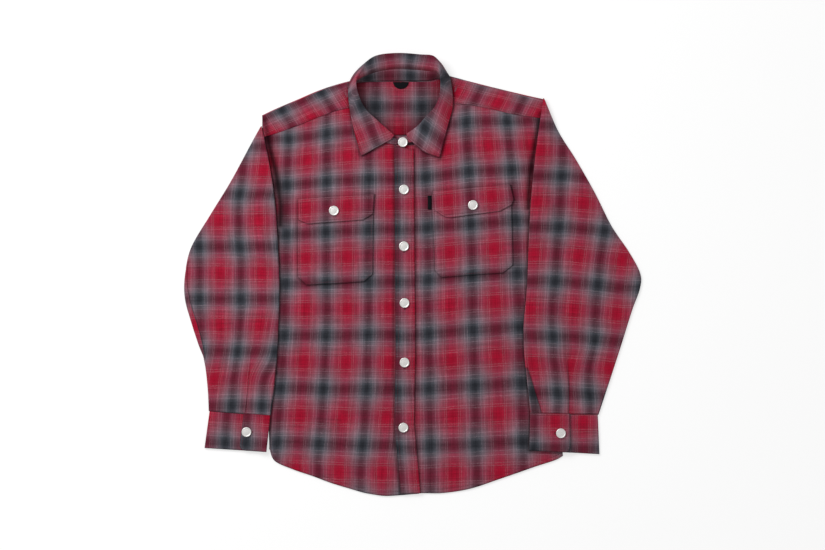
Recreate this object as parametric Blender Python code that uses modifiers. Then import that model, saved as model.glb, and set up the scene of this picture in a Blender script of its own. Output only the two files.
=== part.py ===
"""A long-sleeved flannel shirt laid flat on its back, buttoned, with the sleeves folded down at its sides.

Lengths in the tables are millimetres; MM turns them into metres where a mesh is made. +Z points up out of
the surface, +Y from hem to collar. "right" and "left" are the wearer's: the right front lies at -X.
Each cloth piece is an open sheet of its mid-surface, given its thickness by Solidify.
"""

import math
from collections import namedtuple

import bmesh
import bpy
from mathutils import Vector

MM = 0.001

# Thickness of one cloth, of two cloths pressed and stitched together, and the clearance at every seam.
CLOTH = 1.2
PRESSED = 1.8
GAP = 0.3

# Underside of each layer in the stack, from the surface up.
BACK_Z = 0.0
YOKE_LINING_Z = BACK_Z + CLOTH + GAP
FRONT_Z = YOKE_LINING_Z + CLOTH + GAP
POCKET_Z = FRONT_Z + CLOTH + GAP
FLAP_Z = POCKET_Z + CLOTH + GAP
LAP_RISE = CLOTH + 2 * GAP
BAND_Z = FRONT_Z + LAP_RISE + CLOTH + GAP
EDGE_DROP = FRONT_Z - YOKE_LINING_Z

# Body panels.
BACK_YOKE_SEAM_Y = 255.0
NECK_SEAM_Y = 347.7
PANEL_ROWS = (0.0, 0.03, 0.1, 0.2, 0.3, 0.42, 0.55, 0.68, 0.8, 0.92, 1.0)
HEM_EASE_ROW = 1
FOLD_RADIUS = 1.5

# One row for each column of a front, from hem to top: where it starts and ends, how far the placket swings
# it sideways above the hem, and how far it lies above or below the front's usual level.
Column = namedtuple("Column", "hem_x hem_y top_x top_y bend lift")
FRONT_RIGHT = [
    Column(-257, -313, -268, 250, 0, -EDGE_DROP),
    Column(-247, -335, -246, 256, 0, 0),
    Column(-215, -350, -205, 271, 0, 0),
    Column(-180, -362, -170, 285, 0, 0),
    Column(-145, -375, -136, 297, 0, 0),
    Column(-112, -385, -106, 304, 0, 0),
    Column(-88, -392, -94, 284, 0, 0),
    Column(-66, -396, -78, 262, -2, 0),
    Column(-48, -398, -58, 245, -4, 0),
    Column(-26, -397, -34, 232, -7, 0),
    Column(12, -394, 0, 227, -9, 0),
]
FRONT_LEFT = [
    Column(-21, -394, -32, 231, -9, LAP_RISE),
    Column(-3, -393, -14, 228, -9, LAP_RISE),
    Column(15, -393, 3, 227, -9, LAP_RISE),
    Column(27, -393, 16, 236, -7, 0),
    Column(52, -393, 34, 256, -4, 0),
    Column(85, -389, 50, 284, -2, 0),
    Column(115, -382, 60, 310, 0, 0),
    Column(150, -370, 100, 308, 0, 0),
    Column(185, -358, 139, 301, 0, 0),
    Column(222, -345, 180, 291, 0, 0),
    Column(256, -334, 216, 286, 0, 0),
    Column(271, -326, 237, 283, 0, -EDGE_DROP),
]
BACK = [
    Column(-256, -311, -268, 254.7, 0, 0),
    Column(-246, -333, -246, 254.7, 0, 0),
    Column(-201, -353, -190, 254.7, 0, 0),
    Column(-127, -379, -120, 254.7, 0, 0),
    Column(-54, -396, -54, 254.7, 0, 0),
    Column(15, -391, 8, 254.7, 0, 0),
    Column(66, -390, 58, 254.7, 0, 0),
    Column(114, -380, 104, 254.7, 0, 0),
    Column(173, -360, 155, 254.7, 0, 0),
    Column(241, -338, 206, 254.7, 0, 0),
    Column(256, -332, 219, 254.7, 0, 0),
    Column(270, -324, 233, 254.7, 0, 0),
]
PLACKET_COLUMNS = 3
WING_COLUMNS = 6

# How far a side and its armhole curve in from a straight line, at each share of the height.
SIDE_BOW = {
    "right": ((0, 0), (0.25, -2), (0.55, -1), (0.65, 4), (0.75, 8), (0.88, 6), (1, 0)),
    "left": ((0, 0), (0.25, -5), (0.55, -6), (0.65, -15), (0.75, -17), (0.88, -12), (1, 0)),
}
BOW_COLUMNS = 3
PLACKET_SWING = ((0, 0), (0.2, 1), (0.4, 0.5), (1, 0))

# Yoke: the shoulder folds, a point for each wing column, and the columns of the back neck between them.
SHOULDER_RIGHT = ((-270, 286), (-246, 297.5), (-205, 315), (-170, 330), (-138, 341), (-110, 348.3))
SHOULDER_LEFT = ((61, 358.5), (100, 348), (139, 338), (180, 328), (214, 320), (237, 315))
BACK_NECK_X = (-80, -50, -24, 8, 36)
LINING_X = (-240, -205, -170, -138, -112, -80, -24, 36, 58, 100, 139, 180, 212)
LINING_INSET = 4.5

# Collar, one row for each section round the neck from the wearer's right to left: the seam to the body, the
# top of the stand, the fold where the leaf turns over, and the leaf's free edge.
Section = namedtuple("Section", "seam top fold edge")
COLLAR = [
    Section((-44, 236, 5.5), (-35, 247, 5.8), (-32, 250, 8.5), (-37, 244, 9.2)),
    Section((-61, 246, 5.5), (-49, 259, 6.2), (-46, 262, 9.2), (-62, 230, 7.5)),
    Section((-80, 262, 5.5), (-67, 275, 7.5), (-64, 277, 11), (-92, 213, 6)),
    Section((-96, 287, 5.4), (-86, 295, 12), (-84, 297, 16), (-103, 252, 6)),
    Section((-106.5, 315, 5.1), (-98, 318, 17), (-96, 320, 22), (-110, 284, 6.5)),
    Section((-106.5, 343, 4.7), (-102, 344, 21), (-101, 346, 27), (-115, 326, 8)),
    Section((-94, 349, 3.2), (-92, 353, 20), (-95, 362, 28), (-110, 352, 9)),
    Section((-75, 349, 2.9), (-76, 360, 19), (-80, 382, 28), (-90, 376, 6)),
    Section((-56, 349, 2.8), (-56, 366, 17), (-60, 393, 27), (-63, 390, 5)),
    Section((-24, 349, 2.8), (-24, 370, 16), (-24, 396.5, 26), (-24, 393, 4)),
    Section((8, 349, 2.8), (8, 368, 17), (14, 394, 26), (16, 391, 5)),
    Section((30, 350, 2.9), (32, 365, 19), (38, 391, 28), (45, 386, 6)),
    Section((44, 353, 3.4), (46, 362, 21), (49, 374, 29), (62, 364, 7)),
    Section((58.5, 347, 4.7), (53, 349, 21), (51, 351, 27), (69, 348, 9)),
    Section((60, 315, 5.1), (53, 324, 17), (50, 327, 22), (73, 305, 6.5)),
    Section((55, 292, 5.4), (44, 301, 12), (42, 303, 16), (64, 268, 7)),
    Section((42, 268, 6.2), (29, 282, 9.5), (27, 285, 13), (49, 210, 7.5)),
    Section((19, 246, 7.3), (11, 262, 8.2), (9, 266, 11.5), (18, 223, 9)),
    Section((-2, 238, 7.5), (-9, 250, 7.8), (-11, 252, 11), (-9, 247, 11.8)),
]
# The stand's two ends pass each other at the centre front, the wearer's left one on top.
STAND_END_RIGHT = (((-10, 233.5, 5.4), (-12, 238, 5.4)), ((-24, 233, 5.4), (-24, 243, 5.4)))
STAND_END_LEFT = (((-22, 236, 7.5), (-21, 247.5, 7.5)), ((-32, 233.5, 7.5), (-31, 241.5, 7.5)))
LEAF_FOLD_RADIUS = 1.8
LEAF_START_GAP = 1.1

# Sleeves, one row for each section from the armhole to the cuff: the ends of the outer and inner folds, and
# how far the section bows towards the body.
Station = namedtuple("Station", "outer_x outer_y inner_x inner_y bow")
SLEEVE_RIGHT = [
    Station(-271, 266, -241, 20, 7),
    Station(-290, 232, -240.5, 2, 5),
    Station(-326, 165, -240, -18, 3),
    Station(-362, 106, -240.5, -40, 1),
    Station(-396, 48, -241.5, -64, 0),
    Station(-408, 0, -242.5, -90, 0),
    Station(-409, -42, -243.5, -116, 0),
    Station(-398, -84, -245, -142, 0),
    Station(-385, -124, -247, -168, 0),
    Station(-372, -158, -249, -193, 0),
    Station(-366, -206, -253, -227, 0),
    Station(-364, -245.7, -257, -254, 0),
]
SLEEVE_LEFT = [
    Station(240, 311, 208, 0, -6),
    Station(262, 256, 207, -20, -5),
    Station(293, 206, 206, -38, -3),
    Station(327, 146, 204.5, -56, -1),
    Station(357, 86, 203, -74, 0),
    Station(388, 40, 202, -93, 0),
    Station(408, 2, 202, -115, 0),
    Station(408, -25, 203, -138, 0),
    Station(394, -64, 205, -162, 0),
    Station(376, -121, 207, -192, 0),
    Station(355, -186, 210, -222, 0),
    Station(333, -252, 213, -250, 0),
]
SLEEVE_COLUMNS = 9
SLEEVE_LOFT = 3.2
SLEEVE_PUFF = 1.2
# A sleeve lies this high on the body, and comes down to the surface over this much beyond the body's edge.
ON_BODY_Z = FRONT_Z + CLOTH + GAP
RAMP_START = 6.0
RAMP_END = 30.0

# Cuffs: the four corners, as (x, y) at the sleeve seam and at the free edge.
Cuff = namedtuple("Cuff", "outer_top inner_top outer_end inner_end")
CUFF_RIGHT = Cuff((-364, -246.3), (-256, -254.8), (-373, -312), (-263, -319))
CUFF_LEFT = Cuff((333, -252.6), (213, -250.6), (336, -323), (211, -316))
# Share of the cuff's width, from its outer fold, where the buttoned end stops, and where the end under it does.
CUFF_LAP_END = {"right": 0.56, "left": 0.41}
CUFF_LAP_UNDER = 0.16
CUFF_LAYER = PRESSED + 0.7
CUFF_STEPS = 7

# Pockets, flaps and labels, as flat outlines.
POCKET_RIGHT = ((-206, 132), (-206, -4), (-190, -19), (-87, -13), (-71, 1), (-70, 141))
POCKET_LEFT = ((35, 146), (41, -4), (57, -17), (165, 3), (181, 17), (178, 159))
FLAP_OUTLINE_RIGHT = ((-206, 137), (-205, 98), (-189, 91), (-89, 98), (-71, 109), (-68, 146))
FLAP_OUTLINE_LEFT = ((36, 151), (40, 116), (57, 104), (68, 102), (158, 114), (178, 125), (182, 136), (176, 163))
SIDE_TAB = ((28, 142), (28, 117), (34.5, 117), (34.5, 142))
LABEL_CENTRE = (-20.5, 346.5)
LABEL_RADIUS = 14.0
LABEL_DROP = 0.9
LABEL_STEPS = 10
LABEL_THICKNESS = 1.0

# Buttons: a turned metal cap on a short shank, as (radius, height) from the top centre down.
BUTTON_PROFILE = ((0, 3.5), (6.6, 3.2), (7.6, 3.5), (8.6, 3.0), (8.8, 2.2), (8.2, 1.4), (2.2, 1.2), (2.2, 0), (0, 0))
BUTTON_STEPS = 18
FRONT_BUTTONS = ((-17, 238), (-15, 153), (-15, 51), (-14, -51), (-14, -158), (-16, -275))
FLAP_BUTTONS = {"right": (-141, 115), "left": (109, 125)}
CUFF_BUTTONS = {"right": (-298, -283), "left": (267, -285)}
STAND_END_TOP = 8.4

FLANNEL = (0.33, 0.07, 0.10, 1.0)
LABEL_BLACK = (0.02, 0.02, 0.03, 1.0)
METAL = (0.72, 0.71, 0.70, 1.0)


def blend(start, end, share):
    return start + (end - start) * share


def sample(table, position):
    """Straight-line reading of a table of (position, value) rows."""
    for (low, first), (high, second) in zip(table, table[1:]):
        if position <= high:
            return blend(first, second, (position - low) / (high - low))
    return table[-1][1]


def make_material(name, colour, roughness, metallic):
    material = bpy.data.materials.new(name)
    material.use_nodes = True
    shader = material.node_tree.nodes["Principled BSDF"]
    shader.inputs["Base Color"].default_value = colour
    shader.inputs["Roughness"].default_value = roughness
    shader.inputs["Metallic"].default_value = metallic
    return material


def make_object(name, mesh, material, collection):
    mesh.materials.append(material)
    obj = bpy.data.objects.new(name, mesh)
    collection.objects.link(obj)
    return obj


def sheet(name, faces, material, collection, thickness=CLOTH):
    """A cloth piece from the quads of its mid-surface, given as lists of corner points in millimetres."""
    made = bmesh.new()
    for corners in faces:
        made.faces.new([made.verts.new(Vector(corner) * MM) for corner in corners])
    bmesh.ops.remove_doubles(made, verts=made.verts, dist=0.00001)
    mesh = bpy.data.meshes.new(name)
    made.to_mesh(mesh)
    made.free()
    obj = make_object(name, mesh, material, collection)
    wall = obj.modifiers.new("wall", "SOLIDIFY")
    wall.thickness = thickness * MM
    wall.offset = 0
    return obj


def quads(rows, closed=False):
    """The quads between neighbouring rows of points; a closed row also joins its last point to its first."""
    found = []
    for low, high in zip(rows, rows[1:]):
        count = len(low)
        for i in range(count if closed else count - 1):
            j = (i + 1) % count
            found.append((low[i], low[j], high[j], high[i]))
    return found


def column_point(column, share, side_shift, z):
    x = blend(column.hem_x, column.top_x, share) + column.bend * sample(PLACKET_SWING, share) + side_shift
    y = blend(column.hem_y, column.top_y, share)
    return (x, y, z)


def side_shift(index, count, share, sides):
    """How far the side curves move a column, full at the side and fading over the next few columns."""
    shift = 0.0
    if "right" in sides:
        shift += sample(SIDE_BOW["right"], share) * max(0.0, 1 - index / BOW_COLUMNS)
    if "left" in sides:
        shift += sample(SIDE_BOW["left"], share) * max(0.0, 1 - (count - 1 - index) / BOW_COLUMNS)
    return shift


def panel_rows(columns, sides, underside, thickness, hem_drop):
    """Rows of mid-surface points of a body panel, from the hem up. The hem row lies hem_drop lower."""
    rows = []
    for number, share in enumerate(PANEL_ROWS):
        drop = hem_drop if number < HEM_EASE_ROW else 0.0
        row = []
        for index, column in enumerate(columns):
            level = max(column.lift - drop, -EDGE_DROP) if hem_drop else column.lift
            z = underside + level + thickness / 2
            row.append(column_point(column, share, side_shift(index, len(columns), share, sides), z))
        rows.append(row)
    return rows


def edge_x(side, y):
    """The body's side or armhole at this height."""
    column = FRONT_RIGHT[0] if side == "right" else FRONT_LEFT[-1]
    share = min(1.0, max(0.0, (y - column.hem_y) / (column.top_y - column.hem_y)))
    return column_point(column, share, sample(SIDE_BOW[side], share), 0)[0]


def lift_over_body(side, x, y):
    """Height of the layer that lies over the body's side and comes down to the surface beyond it."""
    beyond = edge_x(side, y) - x if side == "right" else x - edge_x(side, y)
    share = (RAMP_END - beyond) / (RAMP_END - RAMP_START)
    return ON_BODY_Z * min(1.0, max(0.0, share))


def make_body(flannel, collection):
    sheet("back", quads(panel_rows(BACK, "right left", BACK_Z, CLOTH, 0)), flannel, collection)
    right = panel_rows(FRONT_RIGHT, "right", FRONT_Z, CLOTH, EDGE_DROP)
    sheet("front_right", quads(right), flannel, collection)
    left = panel_rows(FRONT_LEFT, "left", FRONT_Z, CLOTH, EDGE_DROP)
    sheet("front_left", quads(left), flannel, collection)
    rise = (CLOTH + PRESSED) / 2 + GAP
    band = [[(x, y, z + rise) for x, y, z in row[:PLACKET_COLUMNS]] for row in left]
    sheet("placket_band", quads(band), flannel, collection, PRESSED)


def wing_column(fold, front_column):
    """Points of the yoke over one shoulder, from the back seam round the fold to the seam with the front."""
    fold_x, fold_y = fold
    low = BACK_Z + CLOTH / 2
    high = FRONT_Z + CLOTH / 2
    seam_y = front_column.top_y + 2 * GAP
    turned_y = fold_y - FOLD_RADIUS
    return [
        (fold_x, BACK_YOKE_SEAM_Y, low),
        (fold_x, blend(BACK_YOKE_SEAM_Y, turned_y, 0.5), low),
        (fold_x, turned_y, low),
        (fold_x, fold_y, (low + high) / 2),
        (fold_x, turned_y, high),
        (blend(fold_x, front_column.top_x, 0.5), blend(turned_y, seam_y, 0.5), high),
        (front_column.top_x, seam_y, high),
    ]


def neck_column(x):
    low = BACK_Z + CLOTH / 2
    middle_y = blend(BACK_YOKE_SEAM_Y, NECK_SEAM_Y, 0.5)
    return [(x, BACK_YOKE_SEAM_Y, low), (x, middle_y, low), (x, NECK_SEAM_Y, low)]


def make_yoke(flannel, collection):
    right = [wing_column(*pair) for pair in zip(SHOULDER_RIGHT, FRONT_RIGHT[:WING_COLUMNS])]
    left = [wing_column(*pair) for pair in zip(SHOULDER_LEFT, FRONT_LEFT[-WING_COLUMNS:])]
    neck = [neck_column(x) for x in BACK_NECK_X]
    behind = [right[-1][:3]] + neck + [left[0][:3]]
    sheet("yoke_outer", quads(right) + quads(behind) + quads(left), flannel, collection)

    shoulders = SHOULDER_RIGHT + tuple((x, NECK_SEAM_Y + LINING_INSET - 1) for x in BACK_NECK_X) + SHOULDER_LEFT
    z = YOKE_LINING_Z + CLOTH / 2
    low_row = [(x, BACK_YOKE_SEAM_Y + 1, z) for x in LINING_X]
    high_row = [(x, sample(shoulders, x) - LINING_INSET, z) for x in LINING_X]
    sheet("yoke_inner", quads([low_row, high_row]), flannel, collection)


def turned_leaf(section):
    """A section of the collar leaf: up from the stand, over the fold and down to the free edge."""
    top, fold, edge = (Vector(point) for point in (section.top, section.fold, section.edge))
    rising = (fold - top).normalized()
    start = top + rising * LEAF_START_GAP
    to_start = (top - fold).normalized()
    to_edge = (edge - fold).normalized()
    inward = (to_start + to_edge).normalized() * LEAF_FOLD_RADIUS
    across = (to_start - to_edge).normalized() * LEAF_FOLD_RADIUS
    under = fold + inward + across
    over = fold + inward - across
    return [start, under, fold, over, over.lerp(edge, 0.5), edge]


def make_collar(flannel, collection):
    ends_right = [list(pair) for pair in STAND_END_RIGHT]
    ends_left = [list(pair) for pair in STAND_END_LEFT]
    stand = ends_right + [[section.seam, section.top] for section in COLLAR] + ends_left
    stand = [[low, tuple((Vector(low) + Vector(high)) / 2), high] for low, high in stand]
    sheet("collar_stand", quads(stand), flannel, collection, PRESSED)
    leaf = [turned_leaf(section) for section in COLLAR]
    sheet("collar_leaf", quads(leaf), flannel, collection)


def sleeve_ring(station, side):
    """The flattened tube's mid-surface at one section: outer to inner underneath, then back on top."""
    outer = Vector((station.outer_x, station.outer_y))
    inner = Vector((station.inner_x, station.inner_y))
    outward = (outer - inner).normalized()
    low_z = CLOTH / 2
    under = []
    upper = []
    for step in range(SLEEVE_COLUMNS):
        share = step / (SLEEVE_COLUMNS - 1)
        at = outer.lerp(inner, share)
        arch = math.sin(math.pi * share)
        x = at.x + station.bow * arch
        base = lift_over_body(side, x, at.y) + low_z
        under.append((x, at.y, base))
        upper.append((x, at.y, base + SLEEVE_LOFT + SLEEVE_PUFF * arch))
    radius = SLEEVE_LOFT / 2
    outer_turn = (outer.x + outward.x * radius, outer.y + outward.y * radius, under[0][2] + radius)
    inner_turn = (inner.x - outward.x * radius, inner.y - outward.y * radius, under[-1][2] + radius)
    return under + [inner_turn] + upper[::-1] + [outer_turn]


def cuff_row(cuff, side, along):
    """One row round a buttoned cuff, from the end under the button out to the buttoned end on top."""
    outer = Vector(cuff.outer_top).lerp(Vector(cuff.outer_end), along)
    inner = Vector(cuff.inner_top).lerp(Vector(cuff.inner_end), along)
    lap = CUFF_LAP_END[side]
    path = [(blend(lap + CUFF_LAP_UNDER, 0, step / 4), 1.0) for step in range(4)]
    path += [(0.01, 1.0), (0.0, 0.5), (0.01, 0.0)]
    path += [(blend(0, 1, step / CUFF_STEPS), 0.0) for step in range(1, CUFF_STEPS)]
    path += [(0.985, 0.0), (1.0, 1.0), (0.985, 2.0)]
    path += [(blend(1, lap, step / 4), 2.0) for step in range(1, 5)]
    row = []
    for share, layer in path:
        at = outer.lerp(inner, share)
        base = lift_over_body(side, at.x, at.y) + PRESSED / 2
        row.append((at.x, at.y, base + layer * CUFF_LAYER))
    return row


def make_sleeves(flannel, collection):
    for side, stations in (("right", SLEEVE_RIGHT), ("left", SLEEVE_LEFT)):
        rings = [sleeve_ring(station, side) for station in stations]
        sheet("sleeve_" + side, quads(rings, closed=True), flannel, collection)
    for side, cuff in (("right", CUFF_RIGHT), ("left", CUFF_LEFT)):
        rows = [cuff_row(cuff, side, along) for along in (0.0, 0.5, 1.0)]
        sheet("cuff_" + side, quads(rows), flannel, collection, PRESSED)


def flat_piece(name, outline, underside, thickness, material, collection):
    z = underside + thickness / 2
    return sheet(name, [[(x, y, z) for x, y in outline]], material, collection, thickness)


def label_outline():
    """A half-round tab that hangs from the neck seam."""
    centre_x, centre_y = LABEL_CENTRE
    points = []
    for step in range(LABEL_STEPS + 1):
        angle = math.pi + math.pi * step / LABEL_STEPS
        points.append((centre_x + LABEL_RADIUS * math.cos(angle), centre_y + LABEL_DROP * LABEL_RADIUS * math.sin(angle)))
    return points


def make_pockets(flannel, black, collection):
    for side, outline in (("right", POCKET_RIGHT), ("left", POCKET_LEFT)):
        flat_piece("pocket_" + side, outline, POCKET_Z, CLOTH, flannel, collection)
    for side, outline in (("right", FLAP_OUTLINE_RIGHT), ("left", FLAP_OUTLINE_LEFT)):
        flat_piece("flap_" + side, outline, FLAP_Z, PRESSED, flannel, collection)
    flat_piece("side_tab", SIDE_TAB, POCKET_Z, LABEL_THICKNESS, black, collection)
    flat_piece("neck_label", label_outline(), FRONT_Z, LABEL_THICKNESS, black, collection)


def make_button(name, place, seat_z, material, collection):
    """A turned cap on its shank, standing on the cloth whose top is at seat_z."""
    mesh = bpy.data.meshes.new(name)
    profile = [(radius * MM, 0, height * MM) for radius, height in BUTTON_PROFILE]
    edges = [(i, i + 1) for i in range(len(profile) - 1)]
    mesh.from_pydata(profile, edges, [])
    obj = make_object(name, mesh, material, collection)
    obj.location = (place[0] * MM, place[1] * MM, (seat_z + GAP) * MM)
    turn = obj.modifiers.new("turn", "SCREW")
    turn.axis = "Z"
    turn.steps = BUTTON_STEPS
    turn.render_steps = BUTTON_STEPS
    turn.use_merge_vertices = True
    turn.merge_threshold = 0.00001
    return obj


def make_buttons(metal, collection):
    band_top = BAND_Z + PRESSED
    for number, place in enumerate(FRONT_BUTTONS, 1):
        seat = STAND_END_TOP if number == 1 else band_top
        make_button(f"button_front_{number}", place, seat, metal, collection)
    for side, place in FLAP_BUTTONS.items():
        make_button("button_flap_" + side, place, FLAP_Z + PRESSED, metal, collection)
    for side, place in CUFF_BUTTONS.items():
        seat = lift_over_body(side, *place) + 2 * CUFF_LAYER + PRESSED
        make_button("button_cuff_" + side, place, seat, metal, collection)


def main():
    for obj in list(bpy.data.objects):
        bpy.data.objects.remove(obj, do_unlink=True)
    collection = bpy.data.collections.new("flannel_shirt")
    bpy.context.scene.collection.children.link(collection)
    flannel = make_material("flannel", FLANNEL, 0.95, 0.0)
    black = make_material("label_tape", LABEL_BLACK, 0.7, 0.0)
    metal = make_material("button_metal", METAL, 0.35, 1.0)
    make_body(flannel, collection)
    make_yoke(flannel, collection)
    make_collar(flannel, collection)
    make_sleeves(flannel, collection)
    make_pockets(flannel, black, collection)
    make_buttons(metal, collection)


main()
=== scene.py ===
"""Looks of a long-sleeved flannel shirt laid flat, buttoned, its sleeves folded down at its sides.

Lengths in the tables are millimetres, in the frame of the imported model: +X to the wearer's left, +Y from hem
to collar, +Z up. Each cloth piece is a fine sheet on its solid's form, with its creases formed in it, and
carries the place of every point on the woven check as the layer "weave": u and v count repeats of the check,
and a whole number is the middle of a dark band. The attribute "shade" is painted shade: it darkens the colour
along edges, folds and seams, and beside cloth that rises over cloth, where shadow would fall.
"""

import math
from collections import namedtuple

import bmesh
import bpy
import numpy as np
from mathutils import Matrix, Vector


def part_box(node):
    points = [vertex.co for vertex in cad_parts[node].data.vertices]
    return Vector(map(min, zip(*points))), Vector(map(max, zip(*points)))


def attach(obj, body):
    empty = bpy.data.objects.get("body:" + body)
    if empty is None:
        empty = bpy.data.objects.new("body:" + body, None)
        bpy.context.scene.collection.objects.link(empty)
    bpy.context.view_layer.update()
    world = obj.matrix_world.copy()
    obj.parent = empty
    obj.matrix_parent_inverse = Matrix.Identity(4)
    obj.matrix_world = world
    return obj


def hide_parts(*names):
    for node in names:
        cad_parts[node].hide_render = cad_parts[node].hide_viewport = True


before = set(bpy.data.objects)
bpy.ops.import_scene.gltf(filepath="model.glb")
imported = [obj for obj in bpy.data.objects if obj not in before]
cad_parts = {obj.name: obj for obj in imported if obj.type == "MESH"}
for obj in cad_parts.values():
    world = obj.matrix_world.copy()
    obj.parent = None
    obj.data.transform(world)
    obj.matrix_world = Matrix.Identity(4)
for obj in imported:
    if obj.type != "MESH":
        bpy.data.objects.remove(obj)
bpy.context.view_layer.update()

MM = 0.001
SIDES = ("right", "left")


def table(kind, *rows):
    return [kind(*row) for row in rows]


# ---- sizes and places ----

# Thickness of one cloth and of two cloths pressed together, and the underside of each layer in the stack.
CLOTH = 1.2
PRESSED = 1.8
GAP = 0.3
BACK_Z = 0.0
YOKE_LINING_Z = 1.5
FRONT_Z = 3.0
POCKET_Z = 4.5
FLAP_Z = 6.0
LAP_RISE = 1.8
ON_BODY_Z = 4.5
FOLD_RADIUS = 1.5

# Size of a mesh cell on cloth that shows, on cloth that lies underneath and along a sleeve, and how near two
# points are made one.
CELL = 2.4
HIDDEN_CELL = 5.0
SLEEVE_CELL = 3.2
WELD = 0.02

# Width of one repeat of the check across the warp and along it.
WARP_REPEAT = 77.0
WEFT_REPEAT = 97.0

# A column of a panel, from hem to top, and how far the placket swings it sideways above the hem.
Column = namedtuple("Column", "hem_x hem_y top_x top_y bend")
FRONTS = {
    "right": table(
        Column,
        (-257, -313, -268, 250, 0), (-247, -335, -246, 256, 0), (-215, -350, -205, 271, 0),
        (-180, -362, -170, 285, 0), (-145, -375, -136, 297, 0), (-112, -385, -106, 304, 0),
        (-88, -392, -94, 284, 0), (-66, -396, -78, 262, -2), (-48, -398, -58, 245, -4),
        (-26, -397, -34, 232, -7), (12, -394, 0, 227, -9),
    ),
    "left": table(
        Column,
        (-21, -394, -32, 231, -9), (-3, -393, -14, 228, -9), (15, -393, 3, 227, -9),
        (27, -393, 16, 236, -7), (52, -393, 34, 256, -4), (85, -389, 50, 284, -2), (115, -382, 60, 310, 0),
        (150, -370, 100, 308, 0), (185, -358, 139, 301, 0), (222, -345, 180, 291, 0),
        (256, -334, 216, 286, 0), (271, -326, 237, 283, 0),
    ),
}
BACK = table(
    Column,
    (-256, -311, -268, 254.7, 0), (-246, -333, -246, 254.7, 0), (-201, -353, -190, 254.7, 0),
    (-127, -379, -120, 254.7, 0), (-54, -396, -54, 254.7, 0), (15, -391, 8, 254.7, 0),
    (66, -390, 58, 254.7, 0), (114, -380, 104, 254.7, 0), (173, -360, 155, 254.7, 0),
    (241, -338, 206, 254.7, 0), (256, -332, 219, 254.7, 0), (270, -324, 233, 254.7, 0),
)
# The column where each front turns from its shoulder seam to its neck, and the last one under the placket.
FRONT_CORNER = {"right": 5, "left": 6}
PLACKET_LAST = 2
PLACKET_WIDTH = 35.0
BAND_TOP_Y = 233.5

# How far a side and its armhole curve in from a straight line, at each share of the height.
SIDE_BOW = {
    "right": ((0, 0), (0.25, -2), (0.55, -1), (0.65, 4), (0.75, 8), (0.88, 6), (1, 0)),
    "left": ((0, 0), (0.25, -5), (0.55, -6), (0.65, -15), (0.75, -17), (0.88, -12), (1, 0)),
}
BOW_COLUMNS = 3
PLACKET_SWING = ((0, 0), (0.2, 1), (0.4, 0.5), (1, 0))

# The narrow double fold along a hem, and how far the body's side edges drop.
HEM_FOLD = 7.0
HEM_RIDGE = 0.35
HEM_GROOVE = 0.25
HEM_TURN = 1.1
EDGE_DROP = 1.5
EDGE_ROLL = 6.0
# The fronts run a little up under the collar's stand, between these places.
NECK_TUCK = 7.0
NECK_TUCK_X = (-62, 20)
NECK_TUCK_Y = 215.0

# The shoulder folds, from armhole to neck and from neck to armhole, and the back neck between them.
SHOULDERS = {
    "right": ((-270, 286), (-246, 297.5), (-205, 315), (-170, 330), (-138, 341), (-110, 348.3)),
    "left": ((61, 358.5), (100, 348), (139, 338), (180, 328), (214, 320), (237, 315)),
}
BACK_NECK_X = (-80, -50, -24, 8, 36)
BACK_YOKE_SEAM_Y = 255.0
NECK_SEAM_Y = 347.7
# The yoke runs under the stand, and a little further at the wearer's left shoulder.
NECK_UNDER_STAND = 2.6
NECK_RISE = 4.5
NECK_RISE_X = 46.0
YOKE_ROWS_BEHIND = 20
YOKE_ROWS_IN_FRONT = 22
YOKE_OVERLAP = 2.5
YOKE_EDGE_LIFT = 1.0
FOLD_STEPS = 8
LINING_X = (-240, 212)
LINING_POINTS = (180, 34)
LINING_INSET = 4.5
LINING_OVER_SEAM = 4.0

# A section of the collar: the seam to the body, the top of the stand, the fold and the leaf's free edge.
Section = namedtuple("Section", "seam top fold edge")
COLLAR = table(
    Section,
    ((-44, 236, 5.5), (-35, 247, 5.8), (-32, 250, 8.5), (-37, 244, 9.2)),
    ((-61, 246, 5.5), (-49, 259, 6.2), (-46, 262, 9.2), (-62, 230, 7.5)),
    ((-80, 262, 5.5), (-67, 275, 7.5), (-64, 277, 11), (-92, 213, 6)),
    ((-96, 287, 5.4), (-86, 295, 12), (-84, 297, 16), (-103, 252, 6)),
    ((-106.5, 315, 5.1), (-98, 318, 17), (-96, 320, 22), (-110, 284, 6.5)),
    ((-106.5, 343, 4.7), (-102, 344, 21), (-101, 346, 27), (-115, 326, 8)),
    ((-94, 349, 3.2), (-92, 353, 20), (-95, 362, 28), (-110, 352, 9)),
    ((-75, 349, 2.9), (-76, 360, 19), (-80, 382, 28), (-90, 376, 6)),
    ((-56, 349, 2.8), (-56, 366, 17), (-60, 393, 27), (-63, 390, 5)),
    ((-24, 349, 2.8), (-24, 370, 16), (-24, 396.5, 26), (-24, 393, 4)),
    ((8, 349, 2.8), (8, 368, 17), (14, 394, 26), (16, 391, 5)),
    ((30, 350, 2.9), (32, 365, 19), (38, 391, 28), (45, 386, 6)),
    ((44, 353, 3.4), (46, 362, 21), (49, 374, 29), (62, 364, 7)),
    ((58.5, 347, 4.7), (53, 349, 21), (51, 351, 27), (69, 348, 9)),
    ((60, 315, 5.1), (53, 324, 17), (50, 327, 22), (73, 305, 6.5)),
    ((55, 292, 5.4), (44, 301, 12), (42, 303, 16), (64, 268, 7)),
    ((42, 268, 6.2), (29, 282, 9.5), (27, 285, 13), (49, 210, 7.5)),
    ((19, 246, 7.3), (11, 262, 8.2), (9, 266, 11.5), (18, 223, 9)),
    ((-2, 238, 7.5), (-9, 250, 7.8), (-11, 252, 11), (-9, 247, 11.8)),
)
LEAF_POINTS = (2, 16)
COLLAR_MIDDLE = 9
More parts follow.
